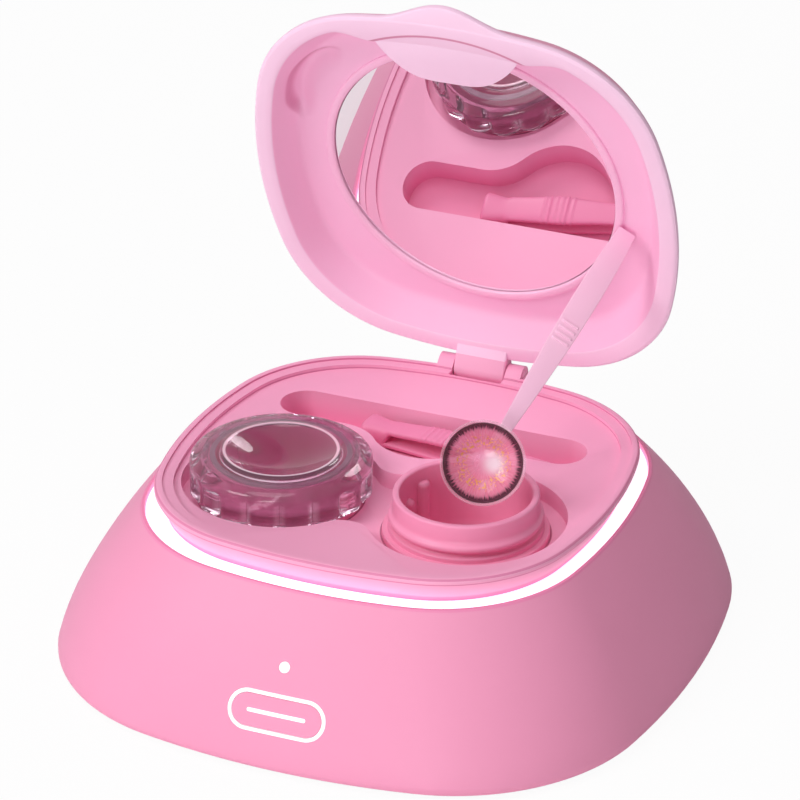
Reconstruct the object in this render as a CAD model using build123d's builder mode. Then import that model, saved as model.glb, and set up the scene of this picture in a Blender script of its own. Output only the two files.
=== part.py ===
from build123d import *
from math import atan, cos, hypot, radians, sin, sqrt
import os

# Contact lens cleaner: a rounded-square tub with a lit ring, two lens cups under
# screw caps, a tool slot and a mirror lid. Millimetres, +Z up, origin on the floor
# under the middle, the front (power key) towards -Y.

# ---- plan shape shared by every rounded-square outline ----
plan_exponent = 2.8
corner_blend = 1.06

# ---- housing ----
foot_proud = 0.6
belly_z = 2.6
housing_top = 27.7
base_half_x, base_half_y = 55.1, 55.7
top_half_x, top_half_y = 41.2, 41.5
wall_bow = 1.9
shell_wall = 2.4
base_edge_radius = 1.5
wall_steps = 4

# ---- light ring on the housing's ledge ----
ledge_top = 24.5
ledge_thick = 1.8
lip_wide = 0.5
ring_play = 0.15
ring_proud = 2.8
ring_edge_radius = 0.5
strip_wide, strip_thick = 1.5, 0.3
chip_long, chip_wide, chip_tall = 2.4, 1.1, 0.7
chip_count = 20
groove_play = 0.3

# ---- base plate, feet and screws ----
plate_thick = 2.4
plate_play = 0.15
foot_radius, foot_thick = 5.0, 1.2
foot_x, foot_y = 41.0, 20.0
base_screw_x, base_screw_y = 36.0, 36.0
boss_radius = 3.4
boss_top = 15.0
shank_radius = 1.25
shank_play = 0.05
hole_play = 0.25
head_radius, head_tall = 2.4, 1.3
base_screw_long = 9.0
tray_screw_x, tray_screw_y = 24.0, 27.0
post_seat = 2.6

# ---- tray ----
rim_half_x, rim_half_y = 39.6, 38.5
rim_top = 31.8
rim_tall = 1.0
rim_radius = 0.7
skirt_half_x, skirt_half_y = 37.3, 36.7
skirt_tall = 2.2
ledge_overlap = 1.0
tub_play = 0.3
tub_drop = 2.5
tray_wall = 1.8
rim_land = 1.3
ledge_land = 1.8
ledge_drop = 0.4
deck_drop = 1.2
deck_thick = 1.7
bow_reach, bow_half = 14.4, 18.5
pit_x, pit_y = 17.1, -11.4
pit_radius = 17.3
pit_floor = 27.4
pit_waist = 9.2
pit_wall = 1.6

# ---- tool slot behind the cups ----
slot_x, slot_y = -0.5, 16.5
slot_long, slot_wide = 57.6, 9.4
slot_floor = 25.0
relief_radius = 10.5
relief_y = 15.0
relief_blend = 9.0

# ---- lens cups ----
cup_top = 35.2
cup_bore = 11.3
cup_wall = 1.2
cup_floor = 21.2
cup_floor_thick = 1.6
cup_floor_radius = 3.0
thread_proud = 0.8
flange_radius, flange_thick = 14.3, 1.1
cup_play = 0.25
lock_ring_wide, lock_ring_thick = 1.0, 1.6
lock_play = 0.05
rib_radius, rib_top, rib_tall = 1.15, 31.6, 5.5
rib_turn = 153
pip_radius, pip_turn, pip_z = 1.1, 172, 29.6
piezo_radius, piezo_thick = 9.5, 1.2

# ---- clear screw cap with its seal ----
cap_top = 36.3
cap_gap = 0.5
seal_thick = 0.3
seal_wide = 0.9
cap_bore_play = 0.3
cap_lobe_count = 16
cap_radius = 15.9
lobe_depth = 0.45
cap_bevel_wide, cap_bevel_drop = 2.4, 1.3
cap_band = 0.9
dish_radius, dish_depth = 9.4, 2.6
dish_ridge_wide, dish_ridge_proud = 0.8, 0.2
dish_thick = 1.0

# ---- power key, its white frame and the indicator ----
key_z = 10.4
frame_long, frame_wide, frame_line = 17.6, 7.0, 0.65
frame_play = 0.05
frame_deep, frame_flange, frame_flange_wide = 3.6, 0.6, 1.0
key_play = 0.12
key_travel = 0.5
key_flange, key_flange_wide = 0.8, 0.7
key_stop_play = 0.05
dash_long, dash_wide, dash_deep = 10.6, 0.7, 0.8
plunger_radius, plunger_long = 1.5, 1.2
plunger_play = 0.06
switch_side, switch_tall = 4.5, 2.4
board_thick = 1.0
key_board_long, key_board_high = 28.0, 12.0
key_board_rise = 3.6
board_post_radius = 1.6
key_post_inset = 2.2
pipe_radius, pipe_rise = 0.95, 8.0
pipe_play = 0.05
led_side, led_tall = 1.8, 0.8

# ---- board, socket and battery ----
board_long, board_deep, board_y = 38.0, 22.0, 38.5
board_rise = 3.0
board_inset = 3.0
socket_long, socket_tall, socket_deep, socket_wall = 8.9, 3.2, 7.6, 0.35
socket_play = 0.15
battery_long, battery_wide, battery_tall = 38.0, 30.0, 7.0
battery_y = -8.0
battery_radius = 2.0
battery_play = 0.3
fence_thick, fence_tall = 1.2, 4.0

# ---- hinge ----
hinge_y, hinge_z = 39.4, 31.3
open_angle = 74.2
pin_radius = 0.8
pin_play = 0.05
knuckle_half, knuckle_radius = 4.85, 2.3
ear_gap, ear_wide, ear_radius = 0.15, 3.0, 2.0
knuckle_play = 0.3

# ---- lid, in its own frame: v from the hinge to the free edge, w outwards ----
rim_w = 0.8
lid_half_x, lid_half_v = 39.3, 37.8
lid_centre = 40.1
lid_side = 1.0
lid_tall = 8.9
lid_crown_x, lid_crown_v = 26.0, 24.6
lid_shoulder = 4.6
lip_reach, lip_half, lip_thick = 3.3, 12.5, 1.8
rim_band = 1.8
liner_play = 0.15
liner_wall = 1.5
dish_floor_w = 6.1
dish_floor_inset = 3.2
liner_back = 1.6
mirror_radius, mirror_thick = 26.2, 1.1
mirror_centre = 40.3
mirror_sunk = 0.1
mirror_play = 0.15
bezel_wide, bezel_tall = 1.5, 0.5
dent_radius, dent_x, dent_v = 11.7, 21.4, 52.1
dent_top_w, dent_tall, dent_taper = 1.9, 2.6, 14

# ---- petal over the mirror, with the closing magnets ----
petal_half, petal_top, petal_low = 13.0, 74.1, 64.7
petal_tip_v = 71.4
petal_thick = 1.3
petal_gap = 0.25
petal_block_half, petal_block_v = 7.5, 68.4
magnet_long, magnet_wide, magnet_thick = 10.0, 1.8, 1.3
magnet_play = 0.05
magnet_cover = 0.4

# ---- tweezers in the slot ----
tweezer_long = 36.0
tweezer_x, tweezer_y = -13.6, 17.8
tweezer_turn = -6.0
tweezer_play = 0.1
tweezer_butt, tweezer_neck, tweezer_grip, tweezer_tip = 6.0, 4.0, 5.2, 2.8
arm_thick = 1.3
tweezer_tall = 4.3
tip_gap = 2.2
ridge_count, ridge_pitch, ridge_wide, ridge_proud = 5, 1.1, 0.5, 0.3

# ---- applicator and the lens on its tip ----
lens_radius, lens_curve, lens_thick = 7.1, 8.6, 0.25
lens_x, lens_y, lens_z = 20.45, -12.3, 41.8
lens_turn, lens_tilt = 22.6, 27.2
touch_right, touch_up = 2.08, 2.77
touch_gap = 0.06
stick_thick = 1.5
stick_tip, stick_grip, stick_top = 1.7, 4.4, 3.3
stick_rest_x, stick_rest_v, stick_rest_w = 28.6, 34.6, 4.9
stick_grip_from, stick_grip_to = 0.42, 0.62
stick_ridge_count, stick_ridge_pitch = 4, 1.25


class Squircle(BaseSketchObject):
    """Rounded square of eight tangent arcs: four corners and four bowed sides."""

    def __init__(self, half_x, half_y, rotation=0, align=None, mode=Mode.ADD):
        reach = 2 ** (-1 / plan_exponent)
        share = corner_blend * reach / ((plan_exponent - 1) * sqrt(0.5))
        corner = share * min(half_x, half_y)
        cx = half_x * reach - corner * sqrt(0.5)
        cy = half_y * reach - corner * sqrt(0.5)

        def side_radius(gap, run):
            return (run**2 + gap**2 - corner**2) / (2 * (gap - corner))

        def joint(px, py):
            away = hypot(cx - px, cy - py)
            return cx + corner * (cx - px) / away, cy + corner * (cy - py) / away

        fx, fy = joint(0, half_y - side_radius(half_y - cy, cx))
        sx, sy = joint(half_x - side_radius(half_x - cx, cy), 0)
        dx, dy = half_x * reach, half_y * reach
        with BuildSketch() as outline:
            with BuildLine():
                ThreePointArc((sx, -sy), (half_x, 0), (sx, sy))
                ThreePointArc((sx, sy), (dx, dy), (fx, fy))
                ThreePointArc((fx, fy), (0, half_y), (-fx, fy))
                ThreePointArc((-fx, fy), (-dx, dy), (-sx, sy))
                ThreePointArc((-sx, sy), (-half_x, 0), (-sx, -sy))
                ThreePointArc((-sx, -sy), (-dx, -dy), (-fx, -fy))
                ThreePointArc((-fx, -fy), (0, -half_y), (fx, -fy))
                ThreePointArc((fx, -fy), (dx, -dy), (sx, -sy))
            make_face()
        super().__init__(obj=outline.sketch, rotation=rotation, align=align, mode=mode)


def wall_half(z, inset=0.0):
    """Half sizes of the housing's outline at a height, less an inset."""
    t = (z - belly_z) / (housing_top - belly_z)
    bow = 4 * wall_bow * t * (1 - t)
    half_x = base_half_x + (top_half_x - base_half_x) * t + bow - inset
    half_y = base_half_y + (top_half_y - base_half_y) * t + bow - inset
    return half_x, half_y


# ---- derived places ----
ledge_under = ledge_top - ledge_thick
ring_outer_x, ring_outer_y = top_half_x - lip_wide, top_half_y - lip_wide
tub_half_x, tub_half_y = skirt_half_x - ledge_overlap, skirt_half_y - ledge_overlap
plate_top = foot_proud + plate_thick
deck_top = rim_top - deck_drop
deck_under = deck_top - deck_thick
pilot_radius = shank_radius + shank_play
clear_radius = shank_radius + hole_play
sink_radius = head_radius + hole_play
cup_outer = cup_bore + cup_wall
cup_bottom = cup_floor - cup_floor_thick
cup_hole = cup_outer + cup_play
lid_lean = radians(open_angle)
lid_plane = Plane(
    origin=(0, hinge_y, hinge_z), x_dir=(-1, 0, 0), z_dir=(0, sin(lid_lean), cos(lid_lean))
)
rise = housing_top - belly_z
key_t = (key_z - belly_z) / rise
key_slope = (base_half_y - top_half_y - 4 * wall_bow * (1 - 2 * key_t)) / rise
key_lean = atan(key_slope)
key_plane = Plane(
    origin=(0, -wall_half(key_z)[1], key_z), x_dir=(1, 0, 0), z_dir=(0, -cos(key_lean), sin(key_lean))
)

key_post_x = key_board_long / 2 - key_post_inset
key_board_w = -(frame_deep + key_stop_play + key_flange + plunger_long + switch_tall)

# ---- outer form of the housing, from which shell, key, frame and pipe are cut ----
with BuildPart() as body_form:
    with BuildSketch(Plane.XY.offset(foot_proud)):
        Squircle(base_half_x, base_half_y)
    extrude(amount=belly_z - foot_proud)
    fillet(body_form.edges().group_by(Axis.Z)[0], base_edge_radius)
    for step in range(wall_steps + 1):
        height = belly_z + rise * step / wall_steps
        with BuildSketch(Plane.XY.offset(height)):
            Squircle(*wall_half(height))
    loft()

with BuildPart() as housing:
    add(body_form.part)
    with BuildSketch(Plane.XY.offset(foot_proud)):
        Squircle(base_half_x - shell_wall, base_half_y - shell_wall)
    extrude(amount=belly_z - foot_proud, mode=Mode.SUBTRACT)
    for step in range(wall_steps + 1):
        height = belly_z + (ledge_under - belly_z) * step / wall_steps
        with BuildSketch(Plane.XY.offset(height)):
            Squircle(*wall_half(height, shell_wall))
    loft(mode=Mode.SUBTRACT)
    with BuildSketch(Plane.XY.offset(ledge_top)):
        Squircle(ring_outer_x, ring_outer_y)
    extrude(amount=housing_top, mode=Mode.SUBTRACT)
    with BuildSketch(Plane.XY.offset(plate_top)):
        with GridLocations(2 * base_screw_x, 2 * base_screw_y, 2, 2):
            Circle(boss_radius)
    extrude(amount=boss_top - plate_top)
    with BuildSketch(key_plane.offset(-shell_wall / 2)):
        with Locations((-key_post_x, key_board_rise), (key_post_x, key_board_rise)):
            Circle(board_post_radius)
    extrude(amount=key_board_w + shell_wall / 2)
    with BuildSketch(Plane.XY.offset(ledge_under)):
        Squircle(tub_half_x + tub_play, tub_half_y + tub_play)
    extrude(amount=ledge_thick, mode=Mode.SUBTRACT)
    with BuildSketch(Plane.XY.offset(plate_top)):
        with GridLocations(2 * base_screw_x, 2 * base_screw_y, 2, 2):
            Circle(pilot_radius)
    extrude(amount=base_screw_long, mode=Mode.SUBTRACT)
    with BuildSketch(key_plane.offset(-frame_deep - frame_flange)):
        SlotOverall(frame_long + 2 * frame_play, frame_wide + 2 * frame_play)
        with Locations((0, pipe_rise)):
            Circle(pipe_radius + pipe_play)
    extrude(amount=3 * frame_deep, mode=Mode.SUBTRACT)
socket_z = plate_top + board_rise + board_thick + socket_tall / 2
socket_mouth = wall_half(socket_z)[1] - shell_wall / 2
socket_plane = Plane(origin=(0, socket_mouth, socket_z), x_dir=(-1, 0, 0), z_dir=(0, 1, 0))
with BuildPart() as socket_opening:
    with BuildSketch(socket_plane.offset(-shell_wall)):
        SlotOverall(socket_long + 2 * socket_play, socket_tall + 2 * socket_play)
    extrude(amount=3 * shell_wall)
with BuildPart() as housing_shell:
    add(housing.part)
    add(socket_opening.part, mode=Mode.SUBTRACT)
housing_shell.part.label = "housing"
export_step(housing_shell.part, "parts/housing.step")

# ---- base plate with posts for the tray screws, board posts and a battery fence ----
post_top = ledge_top - tub_drop
with BuildPart() as base_plate:
    with BuildSketch(Plane.XY.offset(foot_proud)):
        plate_inset = shell_wall + plate_play
        Squircle(base_half_x - plate_inset, base_half_y - plate_inset)
    extrude(amount=plate_thick)
    with BuildSketch(Plane.XY.offset(plate_top)):
        with GridLocations(2 * tray_screw_x, 2 * tray_screw_y, 2, 2):
            Circle(boss_radius)
    extrude(amount=post_top - plate_top)
    with BuildSketch(Plane.XY.offset(plate_top)):
        with Locations((0, board_y)):
            with GridLocations(board_long - 2 * board_inset, board_deep - 2 * board_inset, 2, 2):
                Circle(board_post_radius)
    extrude(amount=board_rise)
    with BuildSketch(Plane.XY.offset(plate_top)):
        with Locations((0, battery_y)):
            outer_play = 2 * (battery_play + fence_thick)
            Rectangle(battery_long + outer_play, battery_wide + outer_play)
            Rectangle(battery_long + 2 * battery_play, battery_wide + 2 * battery_play, mode=Mode.SUBTRACT)
            Rectangle(battery_long / 2, battery_wide + 2 * outer_play, mode=Mode.SUBTRACT)
    extrude(amount=fence_tall)
    with BuildSketch(Plane.XY.offset(foot_proud)):
        with GridLocations(2 * tray_screw_x, 2 * tray_screw_y, 2, 2):
            Circle(sink_radius)
    extrude(amount=post_top - post_seat - foot_proud, mode=Mode.SUBTRACT)
    with BuildSketch(Plane.XY.offset(foot_proud)):
        with GridLocations(2 * base_screw_x, 2 * base_screw_y, 2, 2):
            Circle(sink_radius)
    extrude(amount=head_tall, mode=Mode.SUBTRACT)
    with BuildSketch(Plane.XY.offset(foot_proud)):
        with GridLocations(2 * base_screw_x, 2 * base_screw_y, 2, 2):
            Circle(clear_radius)
        with GridLocations(2 * tray_screw_x, 2 * tray_screw_y, 2, 2):
            Circle(clear_radius)
    extrude(amount=post_top, mode=Mode.SUBTRACT)
    with BuildSketch(Plane.XY):
        with GridLocations(2 * foot_x, 2 * foot_y, 2, 2):
            Circle(foot_radius + plate_play)
    extrude(amount=foot_thick, mode=Mode.SUBTRACT)
base_plate.part.label = "base_plate"
export_step(base_plate.part, "parts/base_plate.step")

with BuildPart() as rubber_feet:
    with BuildSketch(Plane.XY):
        with GridLocations(2 * foot_x, 2 * foot_y, 2, 2):
            Circle(foot_radius)
    extrude(amount=foot_thick)
    fillet(rubber_feet.edges().group_by(Axis.Z)[0], foot_proud / 2)
rubber_feet.part.label = "rubber_feet"
export_step(rubber_feet.part, "parts/rubber_feet.step")

with BuildPart() as base_screws:
    with BuildSketch(Plane.XY.offset(foot_proud)):
        with GridLocations(2 * base_screw_x, 2 * base_screw_y, 2, 2):
            Circle(head_radius)
    extrude(amount=head_tall)
    with BuildSketch(Plane.XY.offset(foot_proud + head_tall)):
        with GridLocations(2 * base_screw_x, 2 * base_screw_y, 2, 2):
            Circle(shank_radius)
    extrude(amount=base_screw_long - head_tall)
    with BuildSketch(Plane.XY.offset(foot_proud)):
        with GridLocations(2 * base_screw_x, 2 * base_screw_y, 2, 2):
            RegularPolygon(head_radius / 2, 6)
    extrude(amount=head_tall / 2, mode=Mode.SUBTRACT)
base_screws.part.label = "base_screws"
export_step(base_screws.part, "parts/base_screws.step")

head_seat = post_top - post_seat
with BuildPart() as tray_screws:
    with BuildSketch(Plane.XY.offset(head_seat - head_tall)):
        with GridLocations(2 * tray_screw_x, 2 * tray_screw_y, 2, 2):
            Circle(head_radius)
    extrude(amount=head_tall)
    with BuildSketch(Plane.XY.offset(head_seat)):
        with GridLocations(2 * tray_screw_x, 2 * tray_screw_y, 2, 2):
            Circle(shank_radius)
    extrude(amount=post_seat + pit_floor - pit_wall - post_top - head_tall / 2)
tray_screws.part.label = "tray_screws"
export_step(tray_screws.part, "parts/tray_screws.step")

# ---- light ring over a strip of emitters ----
ring_inner_x, ring_inner_y = skirt_half_x + ring_play, skirt_half_y + ring_play
strip_mid_x = (ring_outer_x + ring_inner_x) / 2
strip_mid_y = (ring_outer_y + ring_inner_y) / 2
with BuildPart() as light_ring:
    with BuildSketch(Plane.XY.offset(ledge_top)):
        Squircle(ring_outer_x - ring_play, ring_outer_y - ring_play)
        Squircle(ring_inner_x, ring_inner_y, mode=Mode.SUBTRACT)
    extrude(amount=ring_proud)
    fillet(light_ring.edges().group_by(Axis.Z)[-1], ring_edge_radius)
    groove_half = strip_wide / 2 + groove_play
    with BuildSketch(Plane.XY.offset(ledge_top)):
        Squircle(strip_mid_x + groove_half, strip_mid_y + groove_half)
        Squircle(strip_mid_x - groove_half, strip_mid_y - groove_half, mode=Mode.SUBTRACT)
    extrude(amount=strip_thick + chip_tall + groove_play, mode=Mode.SUBTRACT)
light_ring.part.label = "light_ring"
export_step(light_ring.part, "parts/light_ring.step")

with BuildPart() as led_strip:
    with BuildSketch(Plane.XY.offset(ledge_top)):
        Squircle(strip_mid_x + strip_wide / 2, strip_mid_y + strip_wide / 2)
        Squircle(strip_mid_x - strip_wide / 2, strip_mid_y - strip_wide / 2, mode=Mode.SUBTRACT)
    extrude(amount=strip_thick)
led_strip.part.label = "led_strip"
export_step(led_strip.part, "parts/led_strip.step")

with BuildSketch() as strip_path:
    Squircle(strip_mid_x, strip_mid_y)
strip_wire = strip_path.sketch.faces()[0].outer_wire()
chip_places = []
for chip in range(chip_count):
    share = (chip + 0.5) / chip_count
    spot, along = strip_wire @ share, strip_wire % share
    chip_places.append(Plane(origin=(spot.X, spot.Y, 0), x_dir=along, z_dir=(0, 0, 1)).location)
with BuildPart() as led_chips:
    with BuildSketch(Plane.XY.offset(ledge_top + strip_thick)):
        with Locations(*chip_places):
            Rectangle(chip_long, chip_wide)
    extrude(amount=chip_tall)
led_chips.part.label = "led_chips"
export_step(led_chips.part, "parts/led_chips.step")

# ---- tray: skirt, stepped rim, deck, cup pits, tool slot and hinge ears ----
boss_foot = post_top
rim_under = rim_top - rim_tall
waist_radius = (pit_x**2 + pit_waist**2 - pit_radius**2) / (2 * (pit_radius - pit_waist))
waist_y = pit_waist + waist_radius
with BuildSketch() as pit_outline:
    with Locations((-pit_x, pit_y), (pit_x, pit_y)):
        Circle(pit_radius)
    with Locations((0, pit_y)):
        Polygon((-pit_x, 0), (0, -waist_y), (pit_x, 0), (0, waist_y), align=None)
    with Locations((0, pit_y - waist_y), (0, pit_y + waist_y)):
        Circle(waist_radius, mode=Mode.SUBTRACT)
with BuildSketch() as slot_outline:
    with Locations((0, relief_y)):
        Circle(relief_radius)
    with Locations((0, slot_y + relief_radius)):
        Rectangle(4 * relief_radius, 2 * relief_radius, mode=Mode.SUBTRACT)
    with Locations((slot_x, slot_y)):
        SlotOverall(slot_long, slot_wide)
    front_corners = slot_outline.vertices().sort_by(lambda v: abs(v.Y - slot_y + slot_wide / 2))
    fillet(front_corners.sort_by(lambda v: abs(v.X))[:2], relief_blend)
with BuildPart() as tray:
    with BuildSketch(Plane.XY.offset(post_top)):
        Squircle(tub_half_x, tub_half_y)
    extrude(amount=tub_drop)
    with BuildSketch(Plane.XY.offset(ledge_top)):
        Squircle(skirt_half_x, skirt_half_y)
    extrude(amount=skirt_tall)
    with BuildSketch(Plane.XY.offset(ledge_top + skirt_tall)):
        Squircle(skirt_half_x, skirt_half_y)
    with BuildSketch(Plane.XY.offset(rim_under)):
        Squircle(rim_half_x, rim_half_y)
    loft()
    with BuildSketch(Plane.XY.offset(rim_under)):
        Squircle(rim_half_x, rim_half_y)
    extrude(amount=rim_tall)
    fillet(tray.edges().group_by(Axis.Z)[-1], rim_radius)
    with BuildSketch(Plane.XY.offset(post_top)):
        Squircle(tub_half_x - tray_wall, tub_half_y - tray_wall)
    extrude(amount=deck_under - post_top, mode=Mode.SUBTRACT)
    with BuildSketch(Plane.XY.offset(pit_floor - pit_wall)):
        add(offset(pit_outline.sketch, pit_wall, mode=Mode.PRIVATE))
    extrude(amount=deck_under - pit_floor + pit_wall)
    with BuildSketch(Plane.XY.offset(slot_floor - pit_wall)):
        add(offset(slot_outline.sketch, pit_wall, mode=Mode.PRIVATE))
    extrude(amount=deck_under - slot_floor + pit_wall)
    with BuildSketch(Plane.XY.offset(boss_foot)):
        with GridLocations(2 * tray_screw_x, 2 * tray_screw_y, 2, 2):
            Circle(boss_radius)
    extrude(amount=pit_floor - pit_wall - boss_foot)
    with BuildSketch(Plane.XY.offset(pit_floor - pit_wall)):
        with Locations((-tray_screw_x, tray_screw_y), (tray_screw_x, tray_screw_y)):
            Circle(boss_radius)
    extrude(amount=deck_under - pit_floor + pit_wall)
    magnet_y = hinge_y - petal_block_v - magnet_wide
    with BuildSketch(Plane.XY.offset(deck_under - magnet_thick - magnet_cover)):
        with Locations((0, magnet_y)):
            Rectangle(magnet_long + 2 * pit_wall, magnet_wide + 2 * pit_wall)
    extrude(amount=magnet_thick + magnet_cover)
    with BuildSketch(Plane.XY.offset(rim_top - ledge_drop)):
        Squircle(rim_half_x - rim_land, rim_half_y - rim_land)
    extrude(amount=rim_top, mode=Mode.SUBTRACT)
    deck_inset = rim_land + ledge_land
    bow_line = [
        (-bow_half * 1.25, -rim_half_y + deck_inset),
        (-bow_half * 0.8, -rim_half_y + bow_reach * 0.37),
        (-bow_half * 0.37, -rim_half_y + bow_reach * 0.75),
        (0, -rim_half_y + bow_reach),
        (bow_half * 0.37, -rim_half_y + bow_reach * 0.75),
        (bow_half * 0.8, -rim_half_y + bow_reach * 0.37),
        (bow_half * 1.25, -rim_half_y + deck_inset),
    ]
    with BuildSketch(Plane.XY.offset(deck_top)):
        Squircle(rim_half_x - deck_inset, rim_half_y - deck_inset)
        with BuildLine():
            Spline(*bow_line)
            Polyline(
                bow_line[-1],
                (bow_half * 1.25, -rim_half_y),
                (-bow_half * 1.25, -rim_half_y),
                bow_line[0],
            )
        make_face(mode=Mode.SUBTRACT)
    extrude(amount=rim_top, mode=Mode.SUBTRACT)
    with BuildSketch(Plane.XY.offset(pit_floor)):
        add(pit_outline.sketch)
    extrude(amount=rim_top, mode=Mode.SUBTRACT)
    with BuildSketch(Plane.XY.offset(slot_floor)):
        add(slot_outline.sketch)
    extrude(amount=rim_top, mode=Mode.SUBTRACT)
    with BuildSketch(Plane.XY.offset(post_top)):
        with Locations((-pit_x, pit_y), (pit_x, pit_y)):
            Circle(cup_hole)
    extrude(amount=rim_top, mode=Mode.SUBTRACT)
    with BuildSketch(Plane.XY.offset(boss_foot)):
        with GridLocations(2 * tray_screw_x, 2 * tray_screw_y, 2, 2):
            Circle(pilot_radius)
    extrude(amount=pit_floor - pit_wall - boss_foot, mode=Mode.SUBTRACT)
    with BuildSketch(Plane.XY.offset(deck_under - magnet_thick - magnet_cover)):
        with Locations((0, magnet_y)):
            Rectangle(magnet_long + 2 * magnet_play, magnet_wide + 2 * magnet_play)
    extrude(amount=magnet_thick + magnet_cover, mode=Mode.SUBTRACT)
    ear_from = knuckle_half + ear_gap
    for side in (-1, 1):
        with BuildSketch(Plane.YZ.offset(side * ear_from)):
            with Locations((hinge_y, hinge_z)):
                Circle(ear_radius)
            with Locations((rim_half_y - rim_tall, rim_under)):
                Circle(rim_tall)
            make_hull()
        extrude(amount=side * ear_wide)
    with BuildSketch(Plane.YZ.offset(-ear_from)):
        with Locations((hinge_y, hinge_z)):
            Circle(knuckle_radius + knuckle_play)
        with Locations((hinge_y - lid_shoulder, hinge_z + rim_w + lid_side)):
            Circle(rim_w + knuckle_play)
        make_hull()
    extrude(amount=2 * ear_from, mode=Mode.SUBTRACT)
    with BuildSketch(Plane.YZ.offset(-ear_from - ear_wide)):
        with Locations((hinge_y, hinge_z)):
            Circle(pin_radius + pin_play)
    extrude(amount=2 * (ear_from + ear_wide), mode=Mode.SUBTRACT)
tray.part.label = "tray"
export_step(tray.part, "parts/tray.step")

with BuildPart() as tray_magnet:
    with BuildSketch(Plane.XY.offset(deck_under - magnet_thick)):
        with Locations((0, magnet_y)):
            Rectangle(magnet_long, magnet_wide)
    extrude(amount=magnet_thick)
tray_magnet.part.label = "tray_magnet"
export_step(tray_magnet.part, "parts/tray_magnet.step")

with BuildPart() as hinge_pin:
    with BuildSketch(Plane.YZ.offset(-ear_from - ear_wide)):
        with Locations((hinge_y, hinge_z)):
            Circle(pin_radius)
    extrude(amount=2 * (ear_from + ear_wide))
hinge_pin.part.label = "hinge_pin"
export_step(hinge_pin.part, "parts/hinge_pin.step")

# ---- lens cups, their lock rings and the vibrating discs under them ----
thread_radius = cup_outer + thread_proud
flange_top = pit_floor + flange_thick
for cup_name, cup_x in (("left_cup", -pit_x), ("right_cup", pit_x)):
    cup_plane = Plane(origin=(cup_x, pit_y, 0), x_dir=(1, 0, 0), z_dir=(0, -1, 0))
    with BuildPart() as cup:
        with BuildSketch(cup_plane):
            with BuildLine():
                Polyline(
                    (0, cup_bottom),
                    (cup_outer, cup_bottom),
                    (cup_outer, pit_floor),
                    (flange_radius, pit_floor),
                    (flange_radius, flange_top),
                    (thread_radius, flange_top),
                    (thread_radius, flange_top + 0.8),
                    (cup_outer, flange_top + 1.2),
                    (cup_outer, flange_top + 1.7),
                    (thread_radius, flange_top + 2.1),
                    (thread_radius, flange_top + 2.7),
                    (cup_outer, flange_top + 3.1),
                    (cup_outer, cup_top),
                    (cup_bore, cup_top),
                    (cup_bore, cup_floor + cup_floor_radius),
                )
                RadiusArc(
                    (cup_bore, cup_floor + cup_floor_radius),
                    (cup_bore - cup_floor_radius, cup_floor),
                    cup_floor_radius,
                )
                Polyline((cup_bore - cup_floor_radius, cup_floor), (0, cup_floor), (0, cup_bottom))
            make_face()
        revolve(axis=Axis((cup_x, pit_y, 0), (0, 0, 1)))
        fillet(cup.edges().group_by(Axis.Z)[-1], cup_wall / 4)
        rib_at = radians(rib_turn)
        rib_place = (cup_x + cup_bore * cos(rib_at), pit_y + cup_bore * sin(rib_at))
        with BuildSketch(Plane.XY.offset(rib_top - rib_tall)):
            with Locations(rib_place):
                Circle(rib_radius)
        extrude(amount=rib_tall)
        with Locations((*rib_place, rib_top)):
            Sphere(rib_radius)
        pip_at = radians(pip_turn)
        with Locations((cup_x + cup_bore * cos(pip_at), pit_y + cup_bore * sin(pip_at), pip_z)):
            Sphere(pip_radius)
    cup.part.label = cup_name
    export_step(cup.part, f"parts/{cup_name}.step")

with BuildPart() as cup_lock_rings:
    with BuildSketch(Plane.XY.offset(pit_floor - pit_wall - lock_ring_thick)):
        with Locations((-pit_x, pit_y), (pit_x, pit_y)):
            Circle(cup_outer + lock_play + lock_ring_wide)
            Circle(cup_outer + lock_play, mode=Mode.SUBTRACT)
    extrude(amount=lock_ring_thick)
cup_lock_rings.part.label = "cup_lock_rings"
export_step(cup_lock_rings.part, "parts/cup_lock_rings.step")

with BuildPart() as piezo_discs:
    with BuildSketch(Plane.XY.offset(cup_bottom - piezo_thick)):
        with Locations((-pit_x, pit_y), (pit_x, pit_y)):
            Circle(piezo_radius)
    extrude(amount=piezo_thick)
piezo_discs.part.label = "piezo_discs"
export_step(piezo_discs.part, "parts/piezo_discs.step")

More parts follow.
